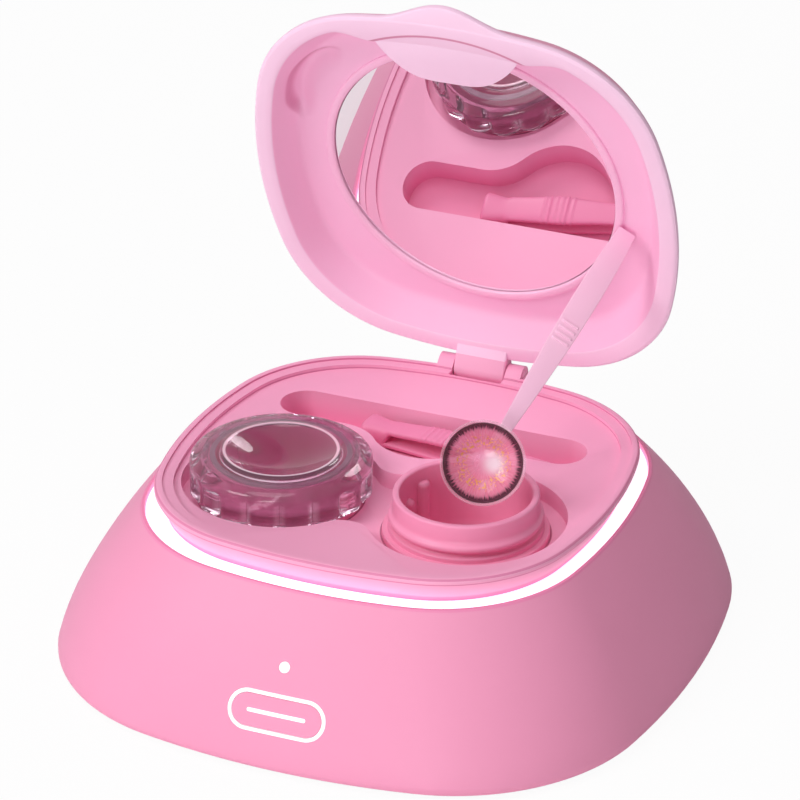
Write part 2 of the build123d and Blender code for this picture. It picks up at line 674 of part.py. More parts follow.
# ---- clear cap: lobed grip wall, bevelled top ring and dished middle ----
cap_bottom = flange_top + cap_gap
cap_under = cup_top + seal_thick
cap_bore = thread_radius + cap_bore_play
bevel_foot = cap_top - cap_bevel_drop
grip_radius = cap_radius - lobe_depth
cap_axis = Axis((-pit_x, pit_y, 0), (0, 0, 1))
cap_plane = Plane(origin=(-pit_x, pit_y, 0), x_dir=(1, 0, 0), z_dir=(0, -1, 0))
lobe_radius = 1.12 * cap_radius * sin(radians(180 / cap_lobe_count))
with BuildPart() as clear_cap:
    with BuildSketch(Plane.XY.offset(cap_bottom + cap_band)):
        with Locations((-pit_x, pit_y)):
            Circle(grip_radius - lobe_depth)
            with PolarLocations(cap_radius - lobe_radius, cap_lobe_count, start_angle=4):
                Circle(lobe_radius)
    extrude(amount=bevel_foot - cap_bottom - 1.7 * cap_band)
    with BuildSketch(cap_plane):
        with BuildLine():
            Polyline(
                (dish_radius - 2, cap_bottom),
                (grip_radius, cap_bottom),
                (grip_radius, bevel_foot),
                (cap_radius - cap_bevel_wide, cap_top),
                (dish_radius + dish_ridge_wide, cap_top),
                (dish_radius + dish_ridge_wide / 2, cap_top + dish_ridge_proud),
                (dish_radius, cap_top),
            )
            ThreePointArc(
                (dish_radius, cap_top),
                (dish_radius * 0.72, cap_top - dish_depth * 0.78),
                (0, cap_top - dish_depth),
            )
            Polyline(
                (0, cap_top - dish_depth),
                (0, cap_top - dish_depth - dish_thick),
                (dish_radius - 2, cap_top - dish_depth - dish_thick),
                (dish_radius - 2, cap_bottom),
            )
        make_face()
    revolve(axis=cap_axis)
    with BuildSketch(cap_plane):
        with BuildLine():
            Polyline(
                (0, cap_bottom),
                (cap_bore, cap_bottom),
                (cap_bore, cap_under),
                (dish_radius, cap_under),
                (dish_radius * 0.8, cap_top - dish_depth - dish_thick + 0.6),
                (dish_radius * 0.45, cap_top - dish_depth - dish_thick),
                (0, cap_top - dish_depth - dish_thick),
                (0, cap_bottom),
            )
        make_face()
    revolve(axis=cap_axis, mode=Mode.SUBTRACT)
clear_cap.part.label = "clear_cap"
export_step(clear_cap.part, "parts/clear_cap.step")

with BuildPart() as cap_seal:
    with BuildSketch(Plane.XY.offset(cup_top)):
        with Locations((-pit_x, pit_y)):
            Circle(cup_bore + seal_wide)
            Circle(cup_bore, mode=Mode.SUBTRACT)
    extrude(amount=seal_thick)
cap_seal.part.label = "cap_seal"
export_step(cap_seal.part, "parts/cap_seal.step")

# ---- power key in its white frame, the switch behind it and the indicator ----
key_long = frame_long - 2 * (frame_line + key_play)
key_wide = frame_wide - 2 * (frame_line + key_play)
flange_front = -(frame_deep + key_stop_play)
flange_back = flange_front - key_flange
switch_back = key_board_w
with BuildPart() as key_frame:
    with BuildSketch(key_plane.offset(-frame_deep)):
        SlotOverall(frame_long, frame_wide)
    extrude(amount=2 * frame_deep)
    add(body_form.part, mode=Mode.INTERSECT)
    with BuildSketch(key_plane.offset(-frame_deep)):
        SlotOverall(frame_long + 2 * frame_flange_wide, frame_wide + 2 * frame_flange_wide)
    extrude(amount=frame_flange)
    with BuildSketch(key_plane.offset(-frame_deep)):
        SlotOverall(frame_long - 2 * frame_line, frame_wide - 2 * frame_line)
    extrude(amount=2 * frame_deep, mode=Mode.SUBTRACT)
key_frame.part.label = "key_frame"
export_step(key_frame.part, "parts/key_frame.step")

with BuildPart() as key_dash:
    with BuildSketch(key_plane.offset(-dash_deep)):
        SlotOverall(dash_long, dash_wide)
    extrude(amount=2 * dash_deep)
    add(body_form.part, mode=Mode.INTERSECT)
key_dash.part.label = "key_dash"
export_step(key_dash.part, "parts/key_dash.step")

with BuildPart() as power_key:
    with BuildSketch(key_plane.offset(flange_front)):
        SlotOverall(key_long, key_wide)
    extrude(amount=2 * frame_deep)
    add(body_form.part, mode=Mode.INTERSECT)
    with BuildSketch(key_plane.offset(flange_back)):
        SlotOverall(key_long + 2 * key_flange_wide, key_wide + 2 * key_flange_wide)
    extrude(amount=key_flange)
    with BuildSketch(key_plane.offset(-dash_deep)):
        SlotOverall(dash_long, dash_wide)
    extrude(amount=2 * dash_deep, mode=Mode.SUBTRACT)
power_key.part.label = "power_key"
export_step(power_key.part, "parts/power_key.step")

plunger_end = flange_back - plunger_long - 2 * key_travel
with BuildPart() as switch_plunger:
    with BuildSketch(key_plane.offset(plunger_end)):
        Circle(plunger_radius)
    extrude(amount=flange_back - plunger_end)
switch_plunger.part.label = "switch_plunger"
export_step(switch_plunger.part, "parts/switch_plunger.step")

with BuildPart() as switch_body:
    with BuildSketch(key_plane.offset(switch_back)):
        Rectangle(switch_side, switch_side)
    extrude(amount=switch_tall)
    with BuildSketch(key_plane.offset(plunger_end - 2 * key_travel)):
        Circle(plunger_radius + plunger_play)
    extrude(amount=switch_tall, mode=Mode.SUBTRACT)
switch_body.part.label = "switch_body"
export_step(switch_body.part, "parts/switch_body.step")

with BuildPart() as key_board:
    with BuildSketch(key_plane.offset(switch_back - board_thick)):
        with Locations((0, key_board_rise)):
            Rectangle(key_board_long, key_board_high)
    extrude(amount=board_thick)
key_board.part.label = "key_board"
export_step(key_board.part, "parts/key_board.step")

with BuildPart() as indicator_led:
    with BuildSketch(key_plane.offset(switch_back)):
        with Locations((0, pipe_rise)):
            Rectangle(led_side, led_side)
    extrude(amount=led_tall)
indicator_led.part.label = "indicator_led"
export_step(indicator_led.part, "parts/indicator_led.step")

with BuildPart() as indicator_pipe:
    with BuildSketch(key_plane.offset(switch_back + led_tall)):
        with Locations((0, pipe_rise)):
            Circle(pipe_radius)
    extrude(amount=frame_deep - switch_back)
    add(body_form.part, mode=Mode.INTERSECT)
indicator_pipe.part.label = "indicator_pipe"
export_step(indicator_pipe.part, "parts/indicator_pipe.step")

# ---- main board, charging socket and battery ----
with BuildPart() as main_board:
    with BuildSketch(Plane.XY.offset(plate_top + board_rise)):
        with Locations((0, board_y)):
            RectangleRounded(board_long, board_deep, board_thick)
    extrude(amount=board_thick)
main_board.part.label = "main_board"
export_step(main_board.part, "parts/main_board.step")

with BuildPart() as usb_socket:
    with BuildSketch(socket_plane.offset(-socket_deep)):
        SlotOverall(socket_long, socket_tall)
    extrude(amount=socket_deep)
    with BuildSketch(socket_plane.offset(-socket_deep + 2 * socket_wall)):
        SlotOverall(socket_long - 2 * socket_wall, socket_tall - 2 * socket_wall)
        SlotOverall(socket_long - 2 * socket_tall / 2, socket_tall / 4, mode=Mode.SUBTRACT)
    extrude(amount=socket_deep, mode=Mode.SUBTRACT)
usb_socket.part.label = "usb_socket"
export_step(usb_socket.part, "parts/usb_socket.step")

with BuildPart() as battery:
    with BuildSketch(Plane.XY.offset(plate_top)):
        with Locations((0, battery_y)):
            Rectangle(battery_long, battery_wide)
    extrude(amount=battery_tall)
    fillet(battery.edges().filter_by(Axis.X), battery_radius)
battery.part.label = "battery"
export_step(battery.part, "parts/battery.step")

# ---- lid shell: side wall, crowned back, finger lip, hinge knuckle and liner pocket ----
crown_w = rim_w + lid_side
pocket_x = lid_half_x - rim_band
pocket_v = lid_half_v - rim_band
floor_back = dish_floor_w + liner_back
pocket_floor_x = pocket_x - dish_floor_inset - liner_back / 2
pocket_floor_v = pocket_v - dish_floor_inset - liner_back / 2
lip_foot = lid_centre + lid_half_v


def petal_outline(grow):
    """Leaf outline over the mirror, grown on all sides by a clearance."""
    side, high, low, tip = petal_half + grow, petal_top + grow, petal_low - grow, petal_tip_v
    with BuildSketch() as leaf:
        with BuildLine():
            ThreePointArc((-side, tip), (0, high), (side, tip))
            Spline(
                (side, tip),
                (side * 0.72, low + 2.4),
                (side * 0.47, low + 0.5),
                (0, low),
                (-side * 0.47, low + 0.5),
                (-side * 0.72, low + 2.4),
                (-side, tip),
            )
        make_face()
    return leaf.sketch


arm_end = lid_plane.from_local_coords(Vector(0, lid_shoulder, crown_w))
with BuildPart() as lid_shell:
    with BuildSketch(lid_plane.offset(rim_w)):
        with Locations((0, lid_centre)):
            Squircle(lid_half_x, lid_half_v)
    extrude(amount=lid_side)
    for level, share in ((0, 0), (0.36, 0.15), (0.75, 0.34), (1, 1)):
        with BuildSketch(lid_plane.offset(crown_w + (lid_tall - lid_side) * level)):
            with Locations((0, lid_centre)):
                shrink_x = (lid_half_x - lid_crown_x) * share
                shrink_v = (lid_half_v - lid_crown_v) * share
                Squircle(lid_half_x - shrink_x, lid_half_v - shrink_v)
    loft()
    with BuildSketch(lid_plane.offset(rim_w)):
        with BuildLine():
            Spline(
                (-lip_half - 2, lip_foot - 1.1),
                (-lip_half, lip_foot - 0.7),
                (-lip_half * 0.45, lip_foot + lip_reach * 0.52),
                (0, lip_foot + lip_reach),
                (lip_half * 0.45, lip_foot + lip_reach * 0.52),
                (lip_half, lip_foot - 0.7),
                (lip_half + 2, lip_foot - 1.1),
            )
            Polyline(
                (lip_half + 2, lip_foot - 1.1),
                (lip_half + 2, lip_foot - 2.4),
                (-lip_half - 2, lip_foot - 2.4),
                (-lip_half - 2, lip_foot - 1.1),
            )
        make_face()
    extrude(amount=lip_thick)
    with BuildSketch(Plane.YZ.offset(-knuckle_half)):
        with Locations((hinge_y, hinge_z)):
            Circle(knuckle_radius)
        with Locations((arm_end.Y, arm_end.Z)):
            Circle(rim_w)
        make_hull()
    extrude(amount=2 * knuckle_half)
    with BuildSketch(Plane.YZ.offset(-knuckle_half)):
        with Locations((hinge_y, hinge_z)):
            Circle(pin_radius + pin_play)
    extrude(amount=2 * knuckle_half, mode=Mode.SUBTRACT)
    for level_w, half_x, half_v in (
        (rim_w, pocket_x, pocket_v),
        (floor_back, pocket_floor_x, pocket_floor_v),
    ):
        with BuildSketch(lid_plane.offset(level_w)):
            with Locations((0, lid_centre)):
                Squircle(half_x, half_v)
    loft(ruled=True, mode=Mode.SUBTRACT)
lid_shell.part.label = "lid_shell"
export_step(lid_shell.part, "parts/lid_shell.step")

with BuildPart() as dish_form:
    with BuildSketch(lid_plane.offset(rim_w)):
        with Locations((0, lid_centre)):
            Squircle(pocket_x - liner_wall, pocket_v - liner_wall)
    with BuildSketch(lid_plane.offset(dish_floor_w)):
        with Locations((0, lid_centre)):
            Squircle(pocket_x - liner_wall - dish_floor_inset, pocket_v - liner_wall - dish_floor_inset)
    loft(ruled=True)
with BuildPart() as lid_liner:
    with BuildSketch(lid_plane.offset(rim_w)):
        with Locations((0, lid_centre)):
            Squircle(pocket_x - liner_play, pocket_v - liner_play)
    with BuildSketch(lid_plane.offset(floor_back)):
        with Locations((0, lid_centre)):
            Squircle(pocket_floor_x - liner_play, pocket_floor_v - liner_play)
    loft(ruled=True)
    add(dish_form.part, mode=Mode.SUBTRACT)
    with BuildSketch(lid_plane.offset(dish_floor_w)):
        with Locations((0, mirror_centre)):
            Circle(mirror_radius + mirror_play)
    extrude(amount=mirror_sunk + mirror_thick, mode=Mode.SUBTRACT)
    with BuildSketch(lid_plane.offset(rim_w)):
        add(petal_outline(petal_gap))
    extrude(amount=petal_thick + petal_gap, mode=Mode.SUBTRACT)
    with BuildSketch(lid_plane.offset(dent_top_w)):
        with Locations((dent_x, dent_v)):
            Circle(dent_radius)
    extrude(amount=dent_tall, taper=dent_taper, mode=Mode.SUBTRACT)
lid_liner.part.label = "lid_liner"
export_step(lid_liner.part, "parts/lid_liner.step")

with BuildPart() as mirror_glass:
    with BuildSketch(lid_plane.offset(dish_floor_w + mirror_sunk)):
        with Locations((0, mirror_centre)):
            Circle(mirror_radius)
    extrude(amount=mirror_thick)
mirror_glass.part.label = "mirror_glass"
export_step(mirror_glass.part, "parts/mirror_glass.step")

with BuildPart() as mirror_bezel:
    with BuildSketch(lid_plane.offset(dish_floor_w - bezel_tall)):
        with Locations((0, mirror_centre)):
            Circle(mirror_radius + mirror_play + bezel_wide)
            Circle(mirror_radius + mirror_play, mode=Mode.SUBTRACT)
    extrude(amount=bezel_tall)
mirror_bezel.part.label = "mirror_bezel"
export_step(mirror_bezel.part, "parts/mirror_bezel.step")

magnet_w = rim_w + petal_thick + magnet_cover
magnet_v = petal_block_v + magnet_cover + magnet_wide / 2
with BuildPart() as petal:
    with BuildSketch(lid_plane.offset(rim_w + petal_thick)):
        block_v = petal_top - petal_block_v
        with Locations((0, petal_block_v + block_v / 2)):
            Rectangle(2 * petal_block_half, block_v)
    extrude(amount=dish_floor_w - rim_w - petal_thick)
    with BuildSketch(lid_plane.offset(rim_w)):
        with Locations((0, lid_centre)):
            Squircle(pocket_x - liner_wall - petal_gap, pocket_v - liner_wall - petal_gap)
    with BuildSketch(lid_plane.offset(dish_floor_w)):
        with Locations((0, lid_centre)):
            inset = liner_wall + dish_floor_inset + petal_gap
            Squircle(pocket_x - inset, pocket_v - inset)
    loft(ruled=True, mode=Mode.INTERSECT)
    with BuildSketch(lid_plane.offset(rim_w)):
        add(petal_outline(0))
    extrude(amount=petal_thick)
    with BuildSketch(lid_plane.offset(magnet_w)):
        with Locations((0, magnet_v)):
            Rectangle(magnet_long + 2 * magnet_play, magnet_wide + 2 * magnet_play)
    extrude(amount=magnet_thick + magnet_play, mode=Mode.SUBTRACT)
petal.part.label = "petal"
export_step(petal.part, "parts/petal.step")

with BuildPart() as lid_magnet:
    with BuildSketch(lid_plane.offset(magnet_w)):
        with Locations((0, magnet_v)):
            Rectangle(magnet_long, magnet_wide)
    extrude(amount=magnet_thick)
lid_magnet.part.label = "lid_magnet"
export_step(lid_magnet.part, "parts/lid_magnet.step")

# ---- tweezers lying in the slot: side profile cut by the plan outline ----
tweezer_floor = Plane(origin=(tweezer_x, tweezer_y, slot_floor + tweezer_play), z_dir=(0, 0, 1))
tweezer_floor = tweezer_floor.rotated((0, 0, tweezer_turn))
tweezer_side = Plane(
    origin=tweezer_floor.origin, x_dir=tweezer_floor.x_dir, z_dir=-tweezer_floor.y_dir
)
grip_mid = tweezer_long * 0.42
tip_mid = (grip_mid + tweezer_long) / 2
tip_mid_half = (tweezer_grip + tweezer_tip) / 4
with BuildPart() as tweezers:
    with BuildSketch(tweezer_side):
        with BuildLine():
            Polyline(
                (0, 0),
                (tweezer_long, 0),
                (tweezer_long, arm_thick * 0.6),
                (tweezer_long * 0.2, arm_thick),
                (tweezer_long * 0.14, tweezer_tall / 2),
                (tweezer_long * 0.2, tweezer_tall - arm_thick),
            )
            Spline(
                (tweezer_long * 0.2, tweezer_tall - arm_thick),
                (grip_mid, tweezer_tall - arm_thick * 0.9),
                (tweezer_long, arm_thick * 0.6 + tip_gap),
            )
            Line(
                (tweezer_long, arm_thick * 0.6 + tip_gap),
                (tweezer_long, arm_thick * 1.2 + tip_gap),
            )
            Spline(
                (tweezer_long, arm_thick * 1.2 + tip_gap),
                (grip_mid, tweezer_tall + arm_thick * 0.1),
                (tweezer_long * 0.14, tweezer_tall - 0.4),
                (0, tweezer_tall),
            )
            Line((0, tweezer_tall), (0, 0))
        make_face()
    extrude(amount=tweezer_butt, both=True)
    with BuildSketch(tweezer_floor):
        with BuildLine():
            Line((0, -tweezer_butt / 2), (0, tweezer_butt / 2))
            Spline(
                (0, tweezer_butt / 2),
                (tweezer_long * 0.16, tweezer_neck / 2 + 0.3),
                (grip_mid, tweezer_grip / 2),
                (tip_mid, tip_mid_half),
                (tweezer_long, tweezer_tip / 2),
            )
            Line((tweezer_long, tweezer_tip / 2), (tweezer_long, -tweezer_tip / 2))
            Spline(
                (tweezer_long, -tweezer_tip / 2),
                (tip_mid, -tip_mid_half),
                (grip_mid, -tweezer_grip / 2),
                (tweezer_long * 0.16, -tweezer_neck / 2 - 0.3),
                (0, -tweezer_butt / 2),
            )
        make_face()
    extrude(amount=2 * tweezer_tall, mode=Mode.INTERSECT)
    with BuildSketch(tweezer_floor.offset(tweezer_tall - arm_thick / 2)):
        with Locations((grip_mid, 0)):
            with GridLocations(ridge_pitch, 1, ridge_count, 1):
                Rectangle(ridge_wide, tweezer_neck)
    extrude(amount=arm_thick / 2 + ridge_proud)
tweezers.part.label = "tweezers"
export_step(tweezers.part, "parts/tweezers.step")

# ---- contact lens: a thin bowl facing the user ----
turn, tilt = radians(lens_turn), radians(lens_tilt)
facing = Vector(sin(turn) * cos(tilt), -cos(turn) * cos(tilt), sin(tilt))
across = Vector(cos(turn), sin(turn), 0)
upward = facing.cross(across)
lens_depth = lens_curve - sqrt(lens_curve**2 - lens_radius**2)
lens_apex = Vector(lens_x, lens_y, lens_z) - facing * lens_depth
lens_section = Plane(origin=lens_apex, x_dir=across, z_dir=-upward)
with BuildPart() as contact_lens:
    with BuildSketch(lens_section):
        with BuildLine():
            edge_at = lens_radius / lens_curve
            half_at = sin(0.5 * atan(edge_at / sqrt(1 - edge_at**2)))
            outer = lens_curve + lens_thick
            outer_edge = outer * edge_at
            ThreePointArc(
                (0, 0),
                (lens_curve * half_at, lens_curve * (1 - sqrt(1 - half_at**2))),
                (lens_radius, lens_depth),
            )
            Line((lens_radius, lens_depth), (outer_edge, lens_curve - outer * sqrt(1 - edge_at**2)))
            ThreePointArc(
                (outer_edge, lens_curve - outer * sqrt(1 - edge_at**2)),
                (outer * half_at, lens_curve - outer * sqrt(1 - half_at**2)),
                (0, -lens_thick),
            )
            Line((0, -lens_thick), (0, 0))
        make_face()
    revolve(axis=Axis(lens_apex, facing))
contact_lens.part.label = "contact_lens"
export_step(contact_lens.part, "parts/contact_lens.step")

# ---- applicator: a flat stick, its tip on the lens and its top against the lid ----
touch_out = Vector(touch_right, touch_up, 0) / lens_curve
touch_back = sqrt(1 - touch_out.length**2)
touch_dir = across * touch_out.X + upward * touch_out.Y - facing * touch_back
lens_middle = lens_apex + facing * lens_curve
stick_tip_at = lens_middle + touch_dir * (lens_curve + lens_thick + touch_gap)
stick_top_at = lid_plane.from_local_coords(Vector(-stick_rest_x, stick_rest_v, stick_rest_w))
stick_run = stick_top_at - stick_tip_at
stick_long = stick_run.length
stick_dir = stick_run.normalized()
stick_face = (facing - stick_dir * facing.dot(stick_dir)).normalized()
stick_plane = Plane(origin=stick_tip_at, x_dir=stick_dir, z_dir=stick_face)
with BuildPart() as applicator:
    with BuildSketch(stick_plane.offset(-stick_thick)):
        with BuildLine():
            Line((0, -stick_tip / 2), (0, stick_tip / 2))
            Spline(
                (0, stick_tip / 2),
                (stick_long * stick_grip_from, stick_grip / 2 - 0.25),
                (stick_long * stick_grip_to, stick_grip / 2),
                (stick_long, stick_top / 2),
            )
            Line((stick_long, stick_top / 2), (stick_long, -stick_top / 2))
            Spline(
                (stick_long, -stick_top / 2),
                (stick_long * stick_grip_to, -stick_grip / 2),
                (stick_long * stick_grip_from, -stick_grip / 2 + 0.25),
                (0, -stick_tip / 2),
            )
        make_face()
    extrude(amount=stick_thick)
    with BuildSketch(stick_plane.offset(-stick_thick / 2)):
        with Locations((stick_long * (stick_grip_from + stick_grip_to) / 2, 0)):
            with GridLocations(stick_ridge_pitch, 1, stick_ridge_count, 1):
                Rectangle(ridge_wide, stick_grip * 0.7)
    extrude(amount=stick_thick / 2 + ridge_proud)
applicator.part.label = "applicator"
export_step(applicator.part, "parts/applicator.step")
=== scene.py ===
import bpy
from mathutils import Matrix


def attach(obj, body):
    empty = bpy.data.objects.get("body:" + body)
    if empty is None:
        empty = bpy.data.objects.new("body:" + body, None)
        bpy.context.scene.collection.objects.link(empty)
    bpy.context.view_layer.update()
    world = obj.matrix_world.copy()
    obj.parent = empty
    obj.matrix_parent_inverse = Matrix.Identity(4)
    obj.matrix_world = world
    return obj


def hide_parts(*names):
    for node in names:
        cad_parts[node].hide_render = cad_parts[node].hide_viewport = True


bl_info = {
    "name": "Contact Lens Cleaner",
    "version": (1, 0, 0),
    "blender": (4, 5, 0),
    "location": "View3D > Sidebar > Lens Cleaner",
    "description": "Dresses a contact lens cleaner: lit ring, screw cap, tools and mirror lid",
    "category": "Object",
}

from math import atan2, copysign, cos, hypot, pi, radians, sin, sqrt

import bpy
from bpy.props import FloatProperty, FloatVectorProperty, PointerProperty
from mathutils import Matrix, Vector

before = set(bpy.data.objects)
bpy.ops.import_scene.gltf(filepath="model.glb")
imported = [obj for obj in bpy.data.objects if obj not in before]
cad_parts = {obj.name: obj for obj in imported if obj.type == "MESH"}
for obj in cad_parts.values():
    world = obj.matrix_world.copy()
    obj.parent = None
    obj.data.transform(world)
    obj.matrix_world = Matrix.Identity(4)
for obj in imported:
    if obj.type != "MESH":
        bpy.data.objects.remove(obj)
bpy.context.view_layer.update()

# Lengths are in millimetres; MM turns them into metres.
MM = 0.001

# The rounded square that the tub, the tray and the lid share.
PLAN_EXPONENT = 2.8
CORNER_BLEND = 1.06
SKIRT_HALF_X, SKIRT_HALF_Y = 37.3, 36.7

# The lens cups: middle of the right one, bore, wall, thread ridge and flange.
WELL_X, WELL_Y = 17.1, -11.4
CUP_BORE, CUP_WALL, CUP_RIDGE, CUP_FLANGE = 11.3, 12.5, 13.3, 14.3

# Half the number of the clear cap's finger lobes.
FLUTE_TURNS = 8

# The lid's own frame: x to the viewer's right, v from the hinge to the free edge, w outwards.
HINGE_Y, HINGE_Z = 39.4, 31.3
LID_LEAN = radians(74.2)
LID_HALF_X, LID_HALF_V, LID_MIDDLE = 39.3, 37.4, 39.7
DISH_HALF_V, DISH_MIDDLE = 37.8, 40.1
DISH_FLOOR_W, LINER_BACK_W = 6.1, 7.5
MIRROR_V, POCKET_RADIUS, SEAT_RADIUS = 40.3, 26.4, 28.6
PETAL_ARC_V = 41.45
DENT_X, DENT_V = 21.5, 52.5
SEAT_SLOPE = 0.045
LID_PLACE = Matrix(
    (
        (1, 0, 0, 0),
        (0, -cos(LID_LEAN), sin(LID_LEAN), HINGE_Y * MM),
        (0, sin(LID_LEAN), cos(LID_LEAN), HINGE_Z * MM),
        (0, 0, 0, 1),
    )
)


# ---- selection and finishing ----


def deselect():
    if bpy.context.object and bpy.context.object.mode != "OBJECT":
        bpy.ops.object.mode_set(mode="OBJECT")
    bpy.ops.object.select_all(action="DESELECT")


def take(piece):
    """Make one piece the only selected and active one."""
    deselect()
    piece.select_set(True)
    bpy.context.view_layer.objects.active = piece
    return piece


def place_in_mesh(piece):
    take(piece)
    bpy.ops.object.transform_apply(location=True, rotation=True, scale=True)
    return piece


def apply_modifiers(piece):
    take(piece)
    for modifier in list(piece.modifiers):
        bpy.ops.object.modifier_apply(modifier=modifier.name)
    return piece


def bevelled(piece, width, segments, limit):
    """Round every edge sharper than the limit, in millimetres."""
    modifier = piece.modifiers.new("edges", "BEVEL")
    modifier.width = width * MM
    modifier.segments = segments
    modifier.limit_method = "ANGLE"
    modifier.angle_limit = radians(limit)
    return apply_modifiers(piece)


def smooth(piece, angle=35):
    take(piece)
    bpy.ops.object.shade_smooth_by_angle(angle=radians(angle))
    return piece


def recalculate(piece):
    """Merge doubles and turn every face outwards."""
    take(piece)
    bpy.ops.object.mode_set(mode="EDIT")
    bpy.ops.mesh.select_all(action="SELECT")
    bpy.ops.mesh.remove_doubles(threshold=0.004 * MM)
    bpy.ops.mesh.normals_make_consistent(inside=False)
    bpy.ops.object.mode_set(mode="OBJECT")
    return piece


def set_finish(piece, material):
    piece.data.materials.clear()
    piece.data.materials.append(material)


def refinish(**finishes):
    """Give solids that stay as they are their better materials."""
    for node, material in finishes.items():
        set_finish(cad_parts[node], finish_named(material))


def dress(piece, body, slot, material, *nodes):
    """Give a finished piece its body and material, and hide the solids it stands for. The slot is
    not used.
    """
    place_in_mesh(piece)
    set_finish(piece, material)
    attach(piece, body)
    if nodes:
        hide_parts(*nodes)
    return piece


def copy_of(node, name):
    """A merged, tidied copy of a solid, to be given finer edges."""
    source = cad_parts[node]
    piece = bpy.data.objects.new(name, source.data.copy())
    bpy.context.scene.collection.objects.link(piece)
    take(piece)
    bpy.ops.object.mode_set(mode="EDIT")
    bpy.ops.mesh.select_all(action="SELECT")
    bpy.ops.mesh.remove_doubles(threshold=0.001 * MM)
    bpy.ops.mesh.dissolve_limited(angle_limit=radians(0.6))
    bpy.ops.object.mode_set(mode="OBJECT")
    if piece.data.has_custom_normals:
        bpy.ops.mesh.customdata_custom_splitnormals_clear()
    return piece


# ---- outlines ----


def square_outline(half_x, half_y, turn):
    """Point of the rounded square, eight tangent arcs as on the tub, seen at an angle."""
    reach = 2 ** (-1 / PLAN_EXPONENT)
    corner = CORNER_BLEND * reach / ((PLAN_EXPONENT - 1) * sqrt(0.5)) * min(half_x, half_y)
    cx, cy = half_x * reach - corner * sqrt(0.5), half_y * reach - corner * sqrt(0.5)
    front = (cx**2 + (half_y - cy) ** 2 - corner**2) / (2 * (half_y - cy - corner))
    right = (cy**2 + (half_x - cx) ** 2 - corner**2) / (2 * (half_x - cx - corner))

    def joint(px, py):
        away = hypot(cx - px, cy - py)
        return atan2(cy + corner * (cy - py) / away, cx + corner * (cx - px) / away)

    a, b = abs(cos(turn)), abs(sin(turn))
    if atan2(b, a) > joint(0, half_y - front):
        px, py, radius = 0, half_y - front, front
    elif atan2(b, a) < joint(half_x - right, 0):
        px, py, radius = half_x - right, 0, right
    else:
        px, py, radius = cx, cy, corner
    along = a * px + b * py
    run = along + sqrt(max(0, along**2 - px**2 - py**2 + radius**2))
    return copysign(run * a, cos(turn)), copysign(run * b, sin(turn))


def squared(half_x, half_y, z, middle=0):
    """Ring in the shape of the rounded square."""

    def ring(turn):
        x, y = square_outline(half_x, half_y, turn)
        return x, y + middle, z

    return ring


def lid_rim(inset, w):
    """Ring in the shape of the lid's edge, moved inwards."""
    return squared(LID_HALF_X - inset, LID_HALF_V - inset, w, LID_MIDDLE)


def circle(radius, z, x=0, y=0):
    """Ring in the shape of a circle."""
    return lambda turn: (x + radius * cos(turn), y + radius * sin(turn), z)


def tube(name, rings, count=144, capped=False):
    """Draw a circle up through a number of rings and shape each to its outline, in millimetres."""
    deselect()
    bpy.ops.mesh.primitive_circle_add(vertices=count, radius=1, fill_type="NOTHING", calc_uvs=False)
    piece = bpy.context.object
    piece.name = piece.data.name = name
    bpy.ops.object.mode_set(mode="EDIT")
    bpy.ops.mesh.select_all(action="SELECT")
    for _ in rings[1:]:
        bpy.ops.mesh.extrude_region_move(TRANSFORM_OT_translate={"value": (0, 0, 1)})
    bpy.ops.object.mode_set(mode="OBJECT")
    for vertex in piece.data.vertices:
        vertex.co = Vector(rings[round(vertex.co.z)](atan2(vertex.co.y, vertex.co.x))) * MM
    if capped:
        take(piece)
        bpy.ops.object.mode_set(mode="EDIT")
        bpy.ops.mesh.select_all(action="DESELECT")
        bpy.ops.mesh.select_non_manifold()
        bpy.ops.mesh.fill_holes(sides=0)
        bpy.ops.object.mode_set(mode="OBJECT")
    return recalculate(piece)


def hull_between(name, first, second, low_x, high_x):
    """Slab along x with the outline of two circles (y, z, radius) and the tangents between them."""

    def ring_at(x):
        def ring(turn):
            aim = Vector((cos(turn), sin(turn)))
            y, z, radius = max((first, second), key=lambda c: aim.dot(Vector(c[:2])) + c[2])
            return x, y + radius * aim.x, z + radius * aim.y

        return ring

    return tube(name, [ring_at(low_x), ring_at(high_x)], 64, capped=True)


def joined(piece, *others):
    take(piece)
    for other in others:
        other.select_set(True)
    bpy.ops.object.join()
    return piece


def rounded_profile(corners, radii, steps=4):
    """Round the corners of an (inset, z) line, each by its own radius, into short arcs."""
    line = []
    for index, corner in enumerate(corners):
        radius = radii[index]
        if radius <= 0 or index in (0, len(corners) - 1):
            line.append(corner)
            continue
        here = Vector(corner)
        before = (Vector(corners[index - 1]) - here).normalized()
        after = (Vector(corners[index + 1]) - here).normalized()
        start, end = here + before * radius, here + after * radius
        for step in range(steps + 1):
            t = step / steps
            line.append(tuple(start * (1 - t) ** 2 + here * 2 * t * (1 - t) + end * t**2))
    return line


# ---- shader sockets as numbers ----


